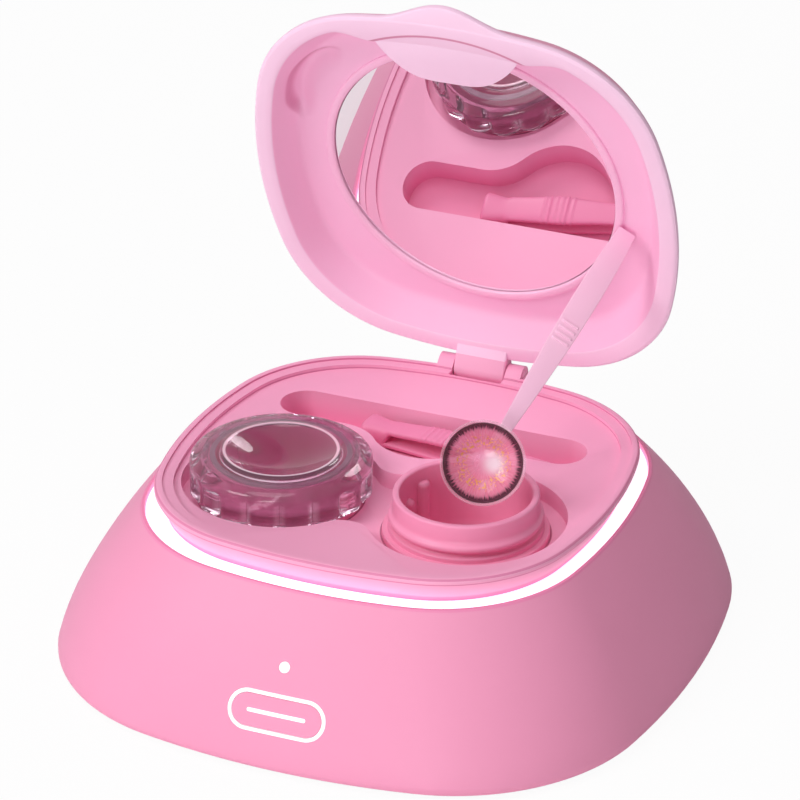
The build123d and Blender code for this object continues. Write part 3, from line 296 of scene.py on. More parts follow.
class Value:
    """A shader socket that takes part in Python arithmetic."""

    def __init__(self, maker, socket):
        self.maker = maker
        self.socket = socket

    def _maths(self, operation, *inputs):
        return self.maker.add("ShaderNodeMath", {"operation": operation}, *inputs)

    def __add__(self, other):
        return self._maths("ADD", self, other)

    __radd__ = __add__

    def __sub__(self, other):
        return self._maths("SUBTRACT", self, other)

    def __rsub__(self, other):
        return self._maths("SUBTRACT", other, self)

    def __mul__(self, other):
        return self._maths("MULTIPLY", self, other)

    __rmul__ = __mul__

    def __truediv__(self, other):
        return self._maths("DIVIDE", self, other)

    def __pow__(self, other):
        return self._maths("POWER", self, other)

    def __gt__(self, other):
        return self._maths("GREATER_THAN", self, other)

    def __lt__(self, other):
        return self._maths("LESS_THAN", self, other)

    def between(self, low, high):
        """Ramp from 0 at low to 1 at high, smoothly."""
        settings = {"interpolation_type": "SMOOTHSTEP"}
        return self.maker.add("ShaderNodeMapRange", settings, self, low, high, 0.0, 1.0)

    def band(self, start, full, fall, end):
        """Ramp up from start to full and down again from fall to end."""
        return self.between(start, full) * (1 - self.between(fall, end))

    def sine(self):
        return self._maths("SINE", self)

    def angle_over(self, across):
        """Angle of the point (across, self), in radians."""
        return self._maths("ARCTAN2", self, across)


def distance(across, along):
    """Distance of a point from the middle, both sides being shader values."""
    return (across**2 + along**2) ** 0.5


class Finish:
    """A material under construction."""

    def __init__(self, name, colour, roughness, **constants):
        self.material = bpy.data.materials.new("dressed_" + name)
        self.material.use_nodes = True
        self.tree = self.material.node_tree
        self.shader = self.tree.nodes["Principled BSDF"]
        self.shader.inputs["Base Color"].default_value = (*colour, 1)
        self.shader.inputs["Roughness"].default_value = roughness
        for socket, value in constants.items():
            self.shader.inputs[socket.replace("_", " ")].default_value = value
        self.material.diffuse_color = (*colour, 1)

    def add(self, kind, settings=None, *inputs, output=0):
        node = self.tree.nodes.new(kind)
        for setting, value in (settings or {}).items():
            setattr(node, setting, value)
        for socket, value in zip(node.inputs, inputs):
            if isinstance(value, Value):
                self.tree.links.new(value.socket, socket)
            elif value is not None:
                socket.default_value = value
        return Value(self, node.outputs[output])

    def feed(self, socket, value):
        self.tree.links.new(value.socket, self.shader.inputs[socket])

    def place(self):
        return self.add("ShaderNodeTexCoord", output=3)

    def split(self, vector):
        node = self.tree.nodes.new("ShaderNodeSeparateXYZ")
        self.tree.links.new(vector.socket, node.inputs[0])
        return [Value(self, socket) for socket in node.outputs]

    def millimetres(self):
        """The three object coordinates in millimetres."""
        return [axis * 1000 for axis in self.split(self.place())]

    def noise(self, scale, detail=2.0, rough=0.5, at=None):
        node = self.tree.nodes.new("ShaderNodeTexNoise")
        node.inputs["Scale"].default_value = scale
        node.inputs["Detail"].default_value = detail
        node.inputs["Roughness"].default_value = rough
        self.tree.links.new((at or self.place()).socket, node.inputs["Vector"])
        return Value(self, node.outputs["Fac"])

    def mix(self, share, first, second, blend="MIX"):
        """Mix two colours, each a socket or three numbers."""
        node = self.tree.nodes.new("ShaderNodeMix")
        node.data_type, node.blend_type = "RGBA", blend
        for index, value in ((0, share), (6, first), (7, second)):
            socket = node.inputs[index]
            if isinstance(value, Value):
                self.tree.links.new(value.socket, socket)
            elif isinstance(value, (tuple, list)):
                socket.default_value = (*value[:3], 1)
            else:
                socket.default_value = value
        return Value(self, node.outputs[2])

    def bump(self, height, strength, distance):
        node = self.tree.nodes.new("ShaderNodeBump")
        node.inputs["Strength"].default_value = strength
        node.inputs["Distance"].default_value = distance * MM
        self.tree.links.new(height.socket, node.inputs["Height"])
        self.feed("Normal", Value(self, node.outputs["Normal"]))


def moulded(name, colour, roughness, grain, drift, **constants):
    """Moulded plastic: a slow drift of tone, a faint speckle and a fine spark-eroded grain."""
    constants.setdefault("Specular_IOR_Level", 0.3)
    finish = Finish(name, colour, roughness, **constants)
    slow = finish.noise(28, 3)
    speckle = finish.noise(2600, 1)
    deep = tuple(c * (1 - drift) for c in colour)
    pale = tuple(min(1, c * (1 + drift)) for c in colour)
    tone = finish.mix(slow, deep, pale)
    finish.feed("Roughness", slow * 0.08 + speckle * 0.06 + (roughness - 0.07))
    finish.bump(speckle + finish.noise(900, 2) * 0.6, grain, 0.12)
    return finish, finish.mix(speckle * 0.12, tone, deep)


def moulded_plastic(name, colour, roughness=0.45, grain=0.05, drift=0.05, **constants):
    finish, tone = moulded(name, colour, roughness, grain, drift, **constants)
    finish.feed("Base Color", tone)
    return finish.material


def shell_plastic(name, colour):
    """Soft-touch shell with a painted shade line where it meets the lit ring."""
    finish, tone = moulded(name, colour, 0.5, 0.05, 0.03)
    height = finish.millimetres()[2]
    # Painted shade: a darker, deeper pink band along the crease where the shell meets the lit ring.
    edge = height.band(27.3, 27.5, 27.75, 27.85)
    finish.feed("Base Color", finish.mix(edge * 0.32, tone, (0.9, 0.16, 0.42)))
    return finish.material


def tray_plastic(name, colour):
    """Satin tray with painted shade in the slot, painted shade lines low on the skirt and at the
    rim's steps, and painted shadow round the cups.
    """
    finish, tone = moulded(name, colour, 0.46, 0.05, 0.03)
    across, along, height = finish.millimetres()
    power = PLAN_EXPONENT / 2
    plan = ((across / SKIRT_HALF_X) ** 2) ** power + ((along / SKIRT_HALF_Y) ** 2) ** power
    # Painted shade: a deeper pink line low on the skirt, where it meets the lit ring.
    painted_foot_shade = (1 - height.between(27.45, 28.1)) * plan.between(0.9, 0.93)
    tone = finish.mix(painted_foot_shade * 0.5, tone, (0.92, 0.12, 0.36))
    rim = plan.between(0.72, 0.75)
    # Painted shade: the slot darkens below the deck.
    painted_slot_shade = (1 - height.between(25.2, 30.2)) * (1 - rim) * (along > 4)
    tone = finish.mix(painted_slot_shade * 0.5, tone, (0.85, 0.2, 0.4))
    # Painted shade: dark lines along the rim's two step walls.
    for low, high in ((30.62, 30.85), (31.42, 31.7)):
        step = height.band(low, low + 0.04, high, high + 0.06) * rim
        tone = finish.mix(step * 0.55, tone, (0.62, 0.1, 0.26))
    # Painted shadow: a dark ring just outside each cup's flange.
    for side in (-WELL_X, WELL_X):
        away = distance(across - side, along - WELL_Y)
        painted_gap_shadow = away.band(CUP_FLANGE - 0.05, CUP_FLANGE + 0.05, CUP_FLANGE + 0.25, CUP_FLANGE + 0.4)
        tone = finish.mix(painted_gap_shadow * 0.75, tone, (0.32, 0.03, 0.1))
    finish.feed("Base Color", tone)
    return finish.material


def lid_place(finish):
    """Place in the open lid's own frame: across, from the hinge to the free edge, and outwards."""
    across, along, height = finish.millimetres()
    along, height = along - HINGE_Y, height - HINGE_Z
    reach = height * sin(LID_LEAN) - along * cos(LID_LEAN)
    depth = along * sin(LID_LEAN) + height * cos(LID_LEAN)
    return across, reach, depth


def lid_plastic(name, colour, rim):
    """Soft-touch shell with painted light: paler towards the lid's edge, less so on the hinge's
    arm.
    """
    finish, tone = moulded(name, colour, 0.5, 0.05, 0.03)
    across, reach, depth = lid_place(finish)
    arm = (across**2 < 24) * (reach < 3.2)
    # Painted light: the edge band is mixed towards the paler rim colour.
    pale = (1 - depth.between(1.6, 2.9)) * (1 - arm * 0.6)
    finish.feed("Base Color", finish.mix(pale, tone, rim))
    return finish.material


def liner_plastic(name, colour, rim):
    """Satin liner with a painted paler rim, a painted shade line along the petal's upper edge and
    painted shade in the finger dent.
    """
    finish, tone = moulded(name, colour, 0.46, 0.05, 0.03)
    across, reach, depth = lid_place(finish)
    # Painted light: the rim is mixed towards the paler rim colour.
    tone = finish.mix(1 - depth.between(0.86, 1.05), tone, rim)
    # Painted shade: a dark line along the petal's upper edge.
    arc = distance(across, reach - PETAL_ARC_V)
    painted_seam_shade = arc.band(32.55, 32.7, 32.95, 33.15) * (reach > 70.9)
    tone = finish.mix(painted_seam_shade * 0.7, tone, (0.6, 0.1, 0.25))
    # Painted shade on the finger dent's outer edge.
    beside, above = across + DENT_X, reach - DENT_V
    away = distance(beside, above)
    towards_corner = (above * 0.48 - beside * 0.88) / away
    shade = away.band(10.7, 11.6, 11.8, 12.2) * towards_corner.between(0.5, 0.8)
    shade = shade * depth.between(3.0, 4.0)
    finish.feed("Base Color", finish.mix(shade * 0.5, tone, (0.62, 0.14, 0.3)))
    return finish.material


def colour_prop(name, description, value):
    return FloatVectorProperty(
        name=name, description=description, subtype="COLOR", size=3, min=0, max=1, default=value
    )


def size_prop(name, description, value):
    return FloatProperty(name=name, description=description, default=value, min=0)


class CleanerColours(bpy.types.PropertyGroup):
    shell: colour_prop("Shell", "Soft-touch plastic of the tub and lid", (0.92, 0.355, 0.54))
    tray: colour_prop("Tray", "Satin plastic of the tray", (1.0, 0.44, 0.64))
    # The liner's pink is made paler than the shell's as painted light for the brightly lit inside
    # of the lid.
    liner: colour_prop("Liner", "Satin plastic inside the lid", (1.0, 0.55, 0.76))
    # The petal's pink is paler still as painted light; it also paints the paler edges of the lid
    # and the liner.
    petal: colour_prop("Petal", "Satin plastic of the petal", (1.0, 0.69, 0.87))
    cups: colour_prop("Cups", "Semi-gloss plastic of the lens cups", (0.94, 0.34, 0.53))
    tools: colour_prop("Tools", "Plastic of the tweezers", (0.88, 0.27, 0.46))
    glow: colour_prop("Glow", "Light that the ring gives", (1.0, 0.92, 0.985))
    clear_tint: colour_prop("Clear tint", "Tint of the clear cap", (0.58, 0.43, 0.52))
    iris: colour_prop("Iris", "Main colour of the contact lens", (0.85, 0.22, 0.36))


class CleanerSizes(bpy.types.PropertyGroup):
    ring_glow: size_prop("Ring glow", "Brightness of the lit ring", 0.95)
    cap_lobes: size_prop("Cap lobes", "Depth of the cap's finger lobes", 1.4)
    lip_reach: size_prop("Lip", "How far the lid's finger lip stands out", 3.5)


# ---- materials shared by several pieces ----


def finish_named(name):
    """The material of a kind, made once."""
    known = bpy.data.materials.get("dressed_" + name)
    if known:
        return known
    colours = bpy.context.scene.cleaner_colours
    makers = {
        "shell_pink": lambda: shell_plastic(name, tuple(colours.shell)),
        "tray_pink": lambda: tray_plastic(name, tuple(colours.tray)),
        "lid_shell": lambda: lid_plastic(name, tuple(colours.shell), tuple(colours.petal)),
        "liner_pink": lambda: liner_plastic(name, tuple(colours.liner), tuple(colours.petal)),
        "bezel_pink": lambda: moulded_plastic(name, (1.0, 0.56, 0.76), 0.42, 0.04, 0.02),
        "petal_pink": lambda: moulded_plastic(name, tuple(colours.petal), 0.42, 0.04, 0.02),
        "stick_pink": lambda: moulded_plastic(name, (1.0, 0.59, 0.77), 0.36, 0.03, 0.03),
        "tool_pink": lambda: moulded_plastic(name, tuple(colours.tools), 0.36, 0.03, 0.03),
        "cup_pink": lambda: moulded_plastic(name, tuple(colours.cups), 0.34, 0.03, 0.03),
        # The faint glow is painted light on the key's white outline, dash and indicator; on the LED
        # strip and chips under the ring it stands for their own light.
        "trim_white": lambda: moulded_plastic(
            name,
            (0.96, 0.94, 0.95),
            0.35,
            0.02,
            0.02,
            Emission_Color=(1, 0.97, 0.98, 1),
            Emission_Strength=0.25,
        ),
        "rubber_grey": lambda: moulded_plastic(name, (0.62, 0.42, 0.48), 0.7, 0.2, 0.06),
        "black_plastic": lambda: moulded_plastic(name, (0.02, 0.02, 0.022), 0.5, 0.1, 0.2),
        "board_green": lambda: moulded_plastic(name, (0.02, 0.12, 0.05), 0.35, 0.05, 0.2),
        "foil": lambda: moulded_plastic(name, (0.5, 0.52, 0.55), 0.4, 0.1, 0.1, Metallic=0.6),
        "seal_clear": lambda: moulded_plastic(
            name, (0.85, 0.78, 0.8), 0.45, 0.02, 0.02, Transmission_Weight=0.5
        ),
        "steel": lambda: turned_metal(name, (0.55, 0.55, 0.57), 0.32),
        "magnet": lambda: turned_metal(name, (0.45, 0.45, 0.47), 0.25),
        "brass": lambda: turned_metal(name, (0.72, 0.5, 0.2), 0.35),
        "mirror": lambda: silvered(name),
        "clear_acrylic": lambda: clear_acrylic(name, tuple(colours.clear_tint)),
        "lens_tint": lambda: tinted_lens(name, tuple(colours.iris)),
        "ring_light": lambda: lit_diffuser(name, tuple(colours.glow)),
    }
    return makers[name]()


def turned_metal(name, colour, roughness):
    finish = Finish(name, colour, roughness, Metallic=1.0)
    scratch = finish.noise(900, 4, 0.7)
    finish.feed("Base Color", finish.mix(scratch * 0.3, colour, tuple(c * 0.7 for c in colour)))
    finish.feed("Roughness", scratch * 0.2 + (roughness - 0.1))
    finish.bump(scratch, 0.08, 0.05)
    return finish.material


def silvered(name):
    """Mirror silvering with a faint drift of tone, and a bump that tilts its reflection as if it
    sat at a slight slope in its pocket.
    """
    finish = Finish(name, (0.93, 0.93, 0.94), 0.0, Metallic=1.0)
    haze = finish.noise(60, 3)
    finish.feed("Base Color", finish.mix(haze, (0.92, 0.9, 0.92), (0.96, 0.95, 0.96)))
    finish.bump(lid_place(finish)[1] * SEAT_SLOPE, 1.0, 1.0)
    return finish.material


def clear_acrylic(name, tint):
    """Clear acrylic with a painted highlight line on the dish's ridge, faint painted glints in the
    flutes and a faint painted glow all over.
    """
    finish = Finish(name, tint, 0.03, Transmission_Weight=1.0, IOR=1.38, Emission_Strength=1.0)
    haze = finish.noise(120, 3)
    across, along, height = finish.millimetres()
    across, along = across + WELL_X, along - WELL_Y
    away = distance(across, along)
    # Painted highlight: a bright line along the dish's ridge.
    ridge = away.band(9.45, 9.65, 9.95, 10.15) * (height > 36.3)
    # Painted glints in the grip's flutes.
    wave = (along.angle_over(across) * FLUTE_TURNS).sine()
    painted_flute_glints = (1 - (wave**2).between(0.0, 0.4)) * (away > 14.6)
    painted_flute_glints = painted_flute_glints * height.band(29.3, 29.8, 33.0, 33.8)
    # Painted glow: a faint pink emission everywhere, with the glints on top.
    painted_glow_and_glints = finish.mix(painted_flute_glints * (haze * 0.45), (0.024, 0.009, 0.014), (0.4, 0.26, 0.33))
    finish.feed("Emission Color", finish.mix(ridge * 0.8, painted_glow_and_glints, (0.62, 0.5, 0.57)))
    finish.feed("Roughness", haze * 0.03 + 0.01)
    finish.feed("Base Color", finish.mix(haze * 0.4, tint, tuple(c * 0.97 for c in tint)))
    return finish.material


def lit_diffuser(name, glow):
    sizes = bpy.context.scene.cleaner_sizes
    finish = Finish(name, (0.9, 0.87, 0.9), 0.5, Emission_Strength=sizes.ring_glow)
    slow = finish.noise(22, 2)
    finish.feed("Emission Color", finish.mix(slow * 0.5, glow, tuple(c * 0.93 for c in glow)))
    finish.feed("Base Color", finish.mix(slow, (0.9, 0.88, 0.9), (0.88, 0.84, 0.88)))
    return finish.material


def tinted_lens(name, iris):
    """Clear hydrogel with a printed iris: dark ragged outer ring, pink rays and amber flecks, and a
    painted highlight spot.
    """
    finish = Finish(name, iris, 0.08, IOR=1.4)
    uv = finish.add("ShaderNodeTexCoord", None, output=2)
    across, along, _ = finish.split(uv)
    across, along = across - 0.5, along - 0.5
    # Painted highlight: a pale spot off the middle.
    spark = 1 - distance(across - 0.13, along + 0.01).between(0.03, 0.2)
    radius = distance(across, along) * 2
    turn = along.angle_over(across)
    rays_at = finish.add("ShaderNodeCombineXYZ", None, turn * 22, radius * 1.2, 0.0)
    rays = finish.noise(1.0, 3.0, at=rays_at)
    flecks_at = finish.add("ShaderNodeCombineXYZ", None, turn * 6, radius * 11, 0.0)
    flecks = finish.noise(1.3, 2.0, at=flecks_at)
    ragged = radius + (rays - 0.5) * 0.36
    ring = ragged.between(0.76, 0.88)
    amber = flecks.between(0.52, 0.6) * radius.band(0.32, 0.45, 0.6, 0.72)
    rose = finish.mix(rays.between(0.35, 0.65), iris, (0.92, 0.36, 0.5))
    tone = finish.mix(amber, rose, (0.85, 0.38, 0.12))
    tone = finish.mix(ring, tone, (0.1, 0.03, 0.05))
    clear_edge = radius.between(0.945, 0.97)
    tone = finish.mix(clear_edge, tone, (0.95, 0.7, 0.8))
    pupil = 1 - radius.between(0.16, 0.36)
    tone = finish.mix(pupil * 0.6, tone, (0.95, 0.42, 0.6))
    # The painted highlight spot.
    tone = finish.mix(spark * 0.9, tone, (1.0, 0.86, 0.93))
    finish.feed("Base Color", tone)
    cover = 0.5 + ring * 0.34 + amber * 0.35 - clear_edge * 0.6 - pupil * 0.15 + spark * 0.3
    finish.feed("Alpha", cover)
    finish.feed("Roughness", rays * 0.1 + 0.04)
    return finish.material


# ---- operators: one for each piece or group of like pieces ----


class CLEANER_OT_housing(bpy.types.Operator):
    """Tub housing with its base plate, feet and screws"""

    bl_idname = "cleaner.housing"
    bl_label = "Housing"

    def execute(self, context):
        piece = copy_of("housing", "tub_housing")
        smooth(piece, 32)
        dress(piece, "tub", "shell_pink", finish_named("shell_pink"), "housing")
        refinish(base_plate="shell_pink", rubber_feet="rubber_grey")
        refinish(base_screws="steel", tray_screws="steel")
        return {"FINISHED"}


class CLEANER_OT_light_ring(bpy.types.Operator):
    """Lit ring and the strip of emitters under it"""

    bl_idname = "cleaner.light_ring"
    bl_label = "Light Ring"

    def execute(self, context):
        outer_x, outer_y, inner_x, inner_y = 40.55, 40.85, 37.45, 36.85
        low, high, soft = 24.5, 27.3, 0.5
        inner_high, slight = high - 0.35, soft * 0.3
        rings = [
            squared(inner_x, inner_y, low),
            squared(outer_x, outer_y, low),
            squared(outer_x, outer_y, high - soft),
            squared(outer_x - slight, outer_y - slight, high - slight),
            squared(outer_x - soft, outer_y - soft, high),
            squared(inner_x + soft, inner_y + soft, inner_high),
            squared(inner_x + slight, inner_y + slight, inner_high - 0.05),
            squared(inner_x, inner_y, inner_high - soft),
            squared(inner_x, inner_y, low),
        ]
        piece = tube("ring_light", rings, 192)
        smooth(piece)
        dress(piece, "tub", "ring_white", finish_named("ring_light"), "light_ring")
        refinish(led_strip="trim_white", led_chips="trim_white")
        return {"FINISHED"}


class CLEANER_OT_tray(bpy.types.Operator):
    """Tray with its stepped rim, wells, tool slot and hinge ears"""

    bl_idname = "cleaner.tray"
    bl_label = "Tray"

    def execute(self, context):
        piece = copy_of("tray", "tray_moulding")
        bevelled(piece, 0.35, 3, 45)
        pin_radius, ear_face, cover_face = 1.25, 7.85, 8.12
        pin = (HINGE_Y, HINGE_Z, pin_radius)
        for low, high in ((-cover_face, -ear_face), (ear_face, cover_face)):
            joined(piece, hull_between("pin_cover", pin, pin, low, high))
        smooth(piece, 32)
        dress(piece, "tub", "tray_pink", finish_named("tray_pink"), "tray")
        refinish(tray_magnet="magnet", hinge_pin="steel", cup_lock_rings="black_plastic")
        return {"FINISHED"}


class CLEANER_OT_cups(bpy.types.Operator):
    """Two lens cups with their thread, flange, rib and pip"""

    bl_idname = "cleaner.cups"
    bl_label = "Lens Cups"

    def execute(self, context):
        # Radius, height and rounding of each corner, from the underside round to the bore's floor.
        corners = [
            (0, 19.6, 0),
            (CUP_WALL, 19.6, 0),
            (CUP_WALL, 27.4, 0),
            (CUP_FLANGE, 27.4, 0),
            (CUP_FLANGE, 28.5, 0.3),
            (CUP_RIDGE, 28.5, 0.15),
            (CUP_RIDGE, 29.35, 0.3),
            (CUP_WALL, 29.75, 0.3),
            (CUP_WALL, 30.2, 0.2),
            (CUP_RIDGE, 30.55, 0.3),
            (CUP_RIDGE, 31.3, 0.35),
            (CUP_WALL, 31.9, 0.6),
            (CUP_WALL, 35.2, 0.45),
            (CUP_BORE, 35.2, 0.45),
            (CUP_BORE, 21.2, 3.0),
            (0, 21.2, 0),
        ]
        profile = rounded_profile([c[:2] for c in corners], [c[2] for c in corners])
        for name, node, x in (
            ("left_well", "left_cup", -WELL_X),
            ("right_well", "right_cup", WELL_X),
        ):
            piece = tube(name, [circle(r, z, x, WELL_Y) for r, z in profile], 96)
            joined(piece, self.rib(x), self.pip(x))
            smooth(piece, 50)
            dress(piece, "tub", "cup_pink", finish_named("cup_pink"), node)
        refinish(piezo_discs="brass")
        return {"FINISHED"}

    def on_bore(self, x, turn):
        """Point on a cup's bore."""
        return x + CUP_BORE * cos(turn), WELL_Y + CUP_BORE * sin(turn)

    def rib(self, x):
        rib_x, rib_y = self.on_bore(x, radians(153))
        arch = [(1.3, 24), (1.3, 31.9), (1.2, 32.35), (0.85, 32.65), (0, 32.75)]
        return tube("rib", [circle(r, z, rib_x, rib_y) for r, z in arch], 24, capped=True)

    def pip(self, x):
        radius, height = 1.1, 29.6
        deselect()
        bpy.ops.mesh.primitive_uv_sphere_add(segments=24, ring_count=14, radius=radius * MM)
        pip = bpy.context.object
        pip.location = [side * MM for side in (*self.on_bore(x, radians(172)), height)]
        return place_in_mesh(pip)


class CLEANER_OT_cap(bpy.types.Operator):
    """Clear screw cap with its lobed grip, dished middle and seal"""

    bl_idname = "cleaner.cap"
    bl_label = "Clear Cap"

    def execute(self, context):
        depth = context.scene.cleaner_sizes.cap_lobes
        top, under, dish_deep = 36.3, 35.3, 2.6
        top_radius, under_radius = 9.4, 9.9

        def lobed(radius, z, share):
            def ring(turn):
                dip = depth * share * (1 - abs(sin(FLUTE_TURNS * turn)) ** 0.8)
                reach = radius - dip
                return -WELL_X + reach * cos(turn), WELL_Y + reach * sin(turn), z

            return ring

        def dished(level, reach, *radii):
            return [(r, level - dish_deep * (1 - (r / reach) ** 2), 0) for r in radii]

        # Radius, height and share of the lobes' depth: dish, ridge, rim, grip and the inside.
        line = dished(top, top_radius, 0, 2, 4, 6, 7.4, 8.4, 9.0)
        line += [(9.35, 36.28, 0), (9.6, 36.46, 0), (9.95, 36.5, 0), (10.3, 36.42, 0)]
        line += [(10.6, 36.28, 0), (11.2, 36.22, 0), (13.0, 36.2, 0), (13.6, 36.1, 0)]
        line += [(14.6, 35.75, 0), (15.3, 35.3, 0), (15.7, 34.8, 0), (15.8, 34.3, 0)]
        line += [(15.8, 34.0, 0.1), (15.9, 33.5, 0.8), (15.9, 33.2, 1), (15.9, 29.8, 1)]
        line += [(15.75, 29.2, 1), (15.2, 29.0, 0), (14.0, 29.0, 0), (13.7, 29.2, 0)]
        line += [(13.65, 29.6, 0), (13.65, 35.0, 0), (13.4, 35.45, 0), (12.8, 35.52, 0)]
        line += [(10.9, 35.5, 0), (10.2, 35.35, 0), (9.3, 34.9, 0)]
        line += dished(under, under_radius, 8.0, 6, 4, 2, 0)
        piece = tube("screw_cap", [lobed(*spot) for spot in line], 384)
        smooth(piece, 50)
        dress(piece, "cap", "clear", finish_named("clear_acrylic"), "clear_cap")
        refinish(cap_seal="seal_clear")
        return {"FINISHED"}


class CLEANER_OT_power_key(bpy.types.Operator):
    """Power key, its white outline and dash, and the indicator"""

    bl_idname = "cleaner.power_key"
    bl_label = "Power Key"

    def execute(self, context):
        refinish(
            power_key="shell_pink",
            key_frame="trim_white",
            key_dash="trim_white",
            indicator_pipe="trim_white",
            indicator_led="trim_white",
            switch_plunger="black_plastic",
            switch_body="black_plastic",
            key_board="board_green",
            main_board="board_green",
            usb_socket="steel",
            battery="foil",
        )
        return {"FINISHED"}


class CLEANER_OT_lid(bpy.types.Operator):
    """Lid shell, liner, mirror, bezel and petal"""

    bl_idname = "cleaner.lid"
    bl_label = "Lid"

    def execute(self, context):
        self.shell(context.scene.cleaner_sizes.lip_reach)
        self.liner()
        self.bezel()
        petal = copy_of("petal", "lid_petal")
        bevelled(petal, 0.4, 3, 40)
        smooth(petal, 40)
        dress(petal, "lid", "liner_pink", finish_named("petal_pink"), "petal")
        refinish(mirror_glass="mirror", lid_magnet="magnet")
        return {"FINISHED"}

    def lidded(self, piece):
        """Put a piece drawn as (x, v, w) into the open lid."""
        piece.data.transform(LID_PLACE)
        return recalculate(piece)

    def lip(self, ring, reach):
        """The ring with the finger lip added at its free edge."""
        half_wide = 12.5

        def with_lip(turn):
            x, v, w = ring(turn)
            near = max(0.0, 1 - abs(x) / half_wide) if sin(turn) > 0 else 0
            return x, v + reach * sin(near * pi / 2) ** 2, w

        return with_lip

    def shell(self, reach):
        edge_w, pocket_w, crown_w, dot = 0.86, 7.7, 9.75, 0.001
        # Inset, height and share of the finger lip, from the edge up to the crown.
        skin = ((0.35, edge_w, 1), (0.08, 1.05, 1), (0, 1.4, 1), (0.12, 2.0, 1), (0.4, 2.5, 0.85))
        skin += ((0.95, 3.3, 0.35), (2.0, 4.64, 0), (3.1, 6.2, 0), (4.6, 7.5, 0), (7.0, 8.5, 0))
        skin += ((10.5, 9.2, 0), (15, 9.6, 0), (22, 9.72, 0))
        outer = [self.lip(lid_rim(inset, w), reach * share) for inset, w, share in skin]
        outer.append(squared(dot, dot, crown_w, LID_MIDDLE))
        pocket_middle = squared(dot, dot, pocket_w, LID_MIDDLE)
        pocket = [pocket_middle, lid_rim(5.6, pocket_w), lid_rim(1.75, edge_w)]
        piece = tube("lid_cover", [*pocket, *outer], 192)
        self.lidded(piece)
        half_wide, arm_v, arm_w = 4.85, 4.6, 1.8
        arm_y = HINGE_Y - cos(LID_LEAN) * arm_v + sin(LID_LEAN) * arm_w
        arm_z = HINGE_Z + sin(LID_LEAN) * arm_v + cos(LID_LEAN) * arm_w
        eye, arm_end = (HINGE_Y, HINGE_Z, 2.3), (arm_y, arm_z, 0.8)
        knuckle = hull_between("knuckle", eye, arm_end, -half_wide, half_wide)
        bevelled(knuckle, 0.35, 3, 50)
        joined(piece, knuckle)
        smooth(piece, 40)
        dress(piece, "lid", "lid_pink", finish_named("lid_shell"), "lid_shell")

    def dish(self, s, w):
        """Outline of the dish's wall, hooking down to the petal's tips."""
        ring = squared(LID_HALF_X - s, DISH_HALF_V - s, w, DISH_MIDDLE)
        hook_deep, hook_half, hook_fade = 2.5, 13, 9

        def hooked(turn):
            x, v, _ = ring(turn)
            if v > DISH_MIDDLE:
                t = min(1, max(0, (abs(x) - hook_half) / hook_fade))
                v -= hook_deep * (1 - t * t * (3 - 2 * t)) * min(1, (v - DISH_MIDDLE) / 20)
            return self.scooped(x, v, w)

        return hooked

    def floor_ring(self, share):
        """Outline between the dish's wall and the mirror's bezel."""
        wall, seat = self.dish(7.4, 6.08), circle(SEAT_RADIUS, DISH_FLOOR_W, 0, MIRROR_V)

        def between(turn):
            (x, v, _), (seat_x, seat_v, _) = wall(turn), seat(turn)
            return self.scooped(x + (seat_x - x) * share, v + (seat_v - v) * share, DISH_FLOOR_W)

        return between

    def scooped(self, x, v, w):
        """Sink the finger dent, a crescent in the dish's upper left corner."""
        radius, deepest, facing_middle, facing_half = 11.9, 1.3, 0.5, 1.05
        away, facing = hypot(x + DENT_X, v - DENT_V), atan2(v - DENT_V, -(x + DENT_X))
        edge = min(1, max(0, (radius - away) / 0.6))
        fade = min(1, max(0, (away - 5.5) / 4.5))
        ends = min(1, max(0, (facing_half - abs(facing - facing_middle)) / 0.4))
        depth = deepest * edge * edge * (3 - 2 * edge) * fade * fade * ends * ends * (3 - 2 * ends)
        return x, v, w + (depth if 3.0 < w < 7.0 else 0)

    def liner(self):
        """Liner drawn from the back over the rim, down the dish's wall and in to the pocket."""
        pocket_back = circle(POCKET_RADIUS, LINER_BACK_W, 0, MIRROR_V)
        # Each pair is an inset from the edge and a height.
        rim = ((5.8, LINER_BACK_W), (2.1, 1.1), (0.5, 0.95), (0.3, 0.86))
        rim += ((0.45, 0.76), (0.75, 0.72), (1.8, 0.74))
        wall = ((3.1, 0.8), (3.35, 0.95), (3.6, 1.45), (4.0, 2.2), (4.6, 3.3), (4.95, 3.9))
        wall += ((5.2, 4.3), (5.45, 4.7), (5.7, 5.1), (5.95, 5.45), (6.25, 5.75), (6.6, 5.95))
        wall += ((7.0, 6.05), (7.4, 6.08))
        floor = (0.08, 0.16, 0.25, 0.35, 0.46, 0.58, 0.7, 0.85)
        rings = [pocket_back, *(lid_rim(inset, w) for inset, w in rim)]
        rings += [self.dish(s, w) for s, w in wall]
        rings += [self.floor_ring(share) for share in floor]
        rings += [circle(r, DISH_FLOOR_W, 0, MIRROR_V) for r in (SEAT_RADIUS, POCKET_RADIUS)]
        rings.append(pocket_back)
        piece = tube("lid_inside", rings, 360)
        self.lidded(piece)
        smooth(piece, 50)
        dress(piece, "lid", "liner_pink", finish_named("liner_pink"), "lid_liner")

    def bezel(self):
        inner, outer = 26.35, 27.85
        profile = [(inner, DISH_FLOOR_W), (outer, DISH_FLOOR_W), (outer, 5.75), (27.7, 5.55)]
        profile += [(27.4, 5.47), (26.8, 5.47), (26.5, 5.55), (inner, 5.75), (inner, DISH_FLOOR_W)]
        piece = tube("mirror_ring", [circle(r, w, 0, MIRROR_V) for r, w in profile], 144)
        self.lidded(piece)
        smooth(piece, 50)
        dress(piece, "lid", "liner_pink", finish_named("bezel_pink"), "mirror_bezel")


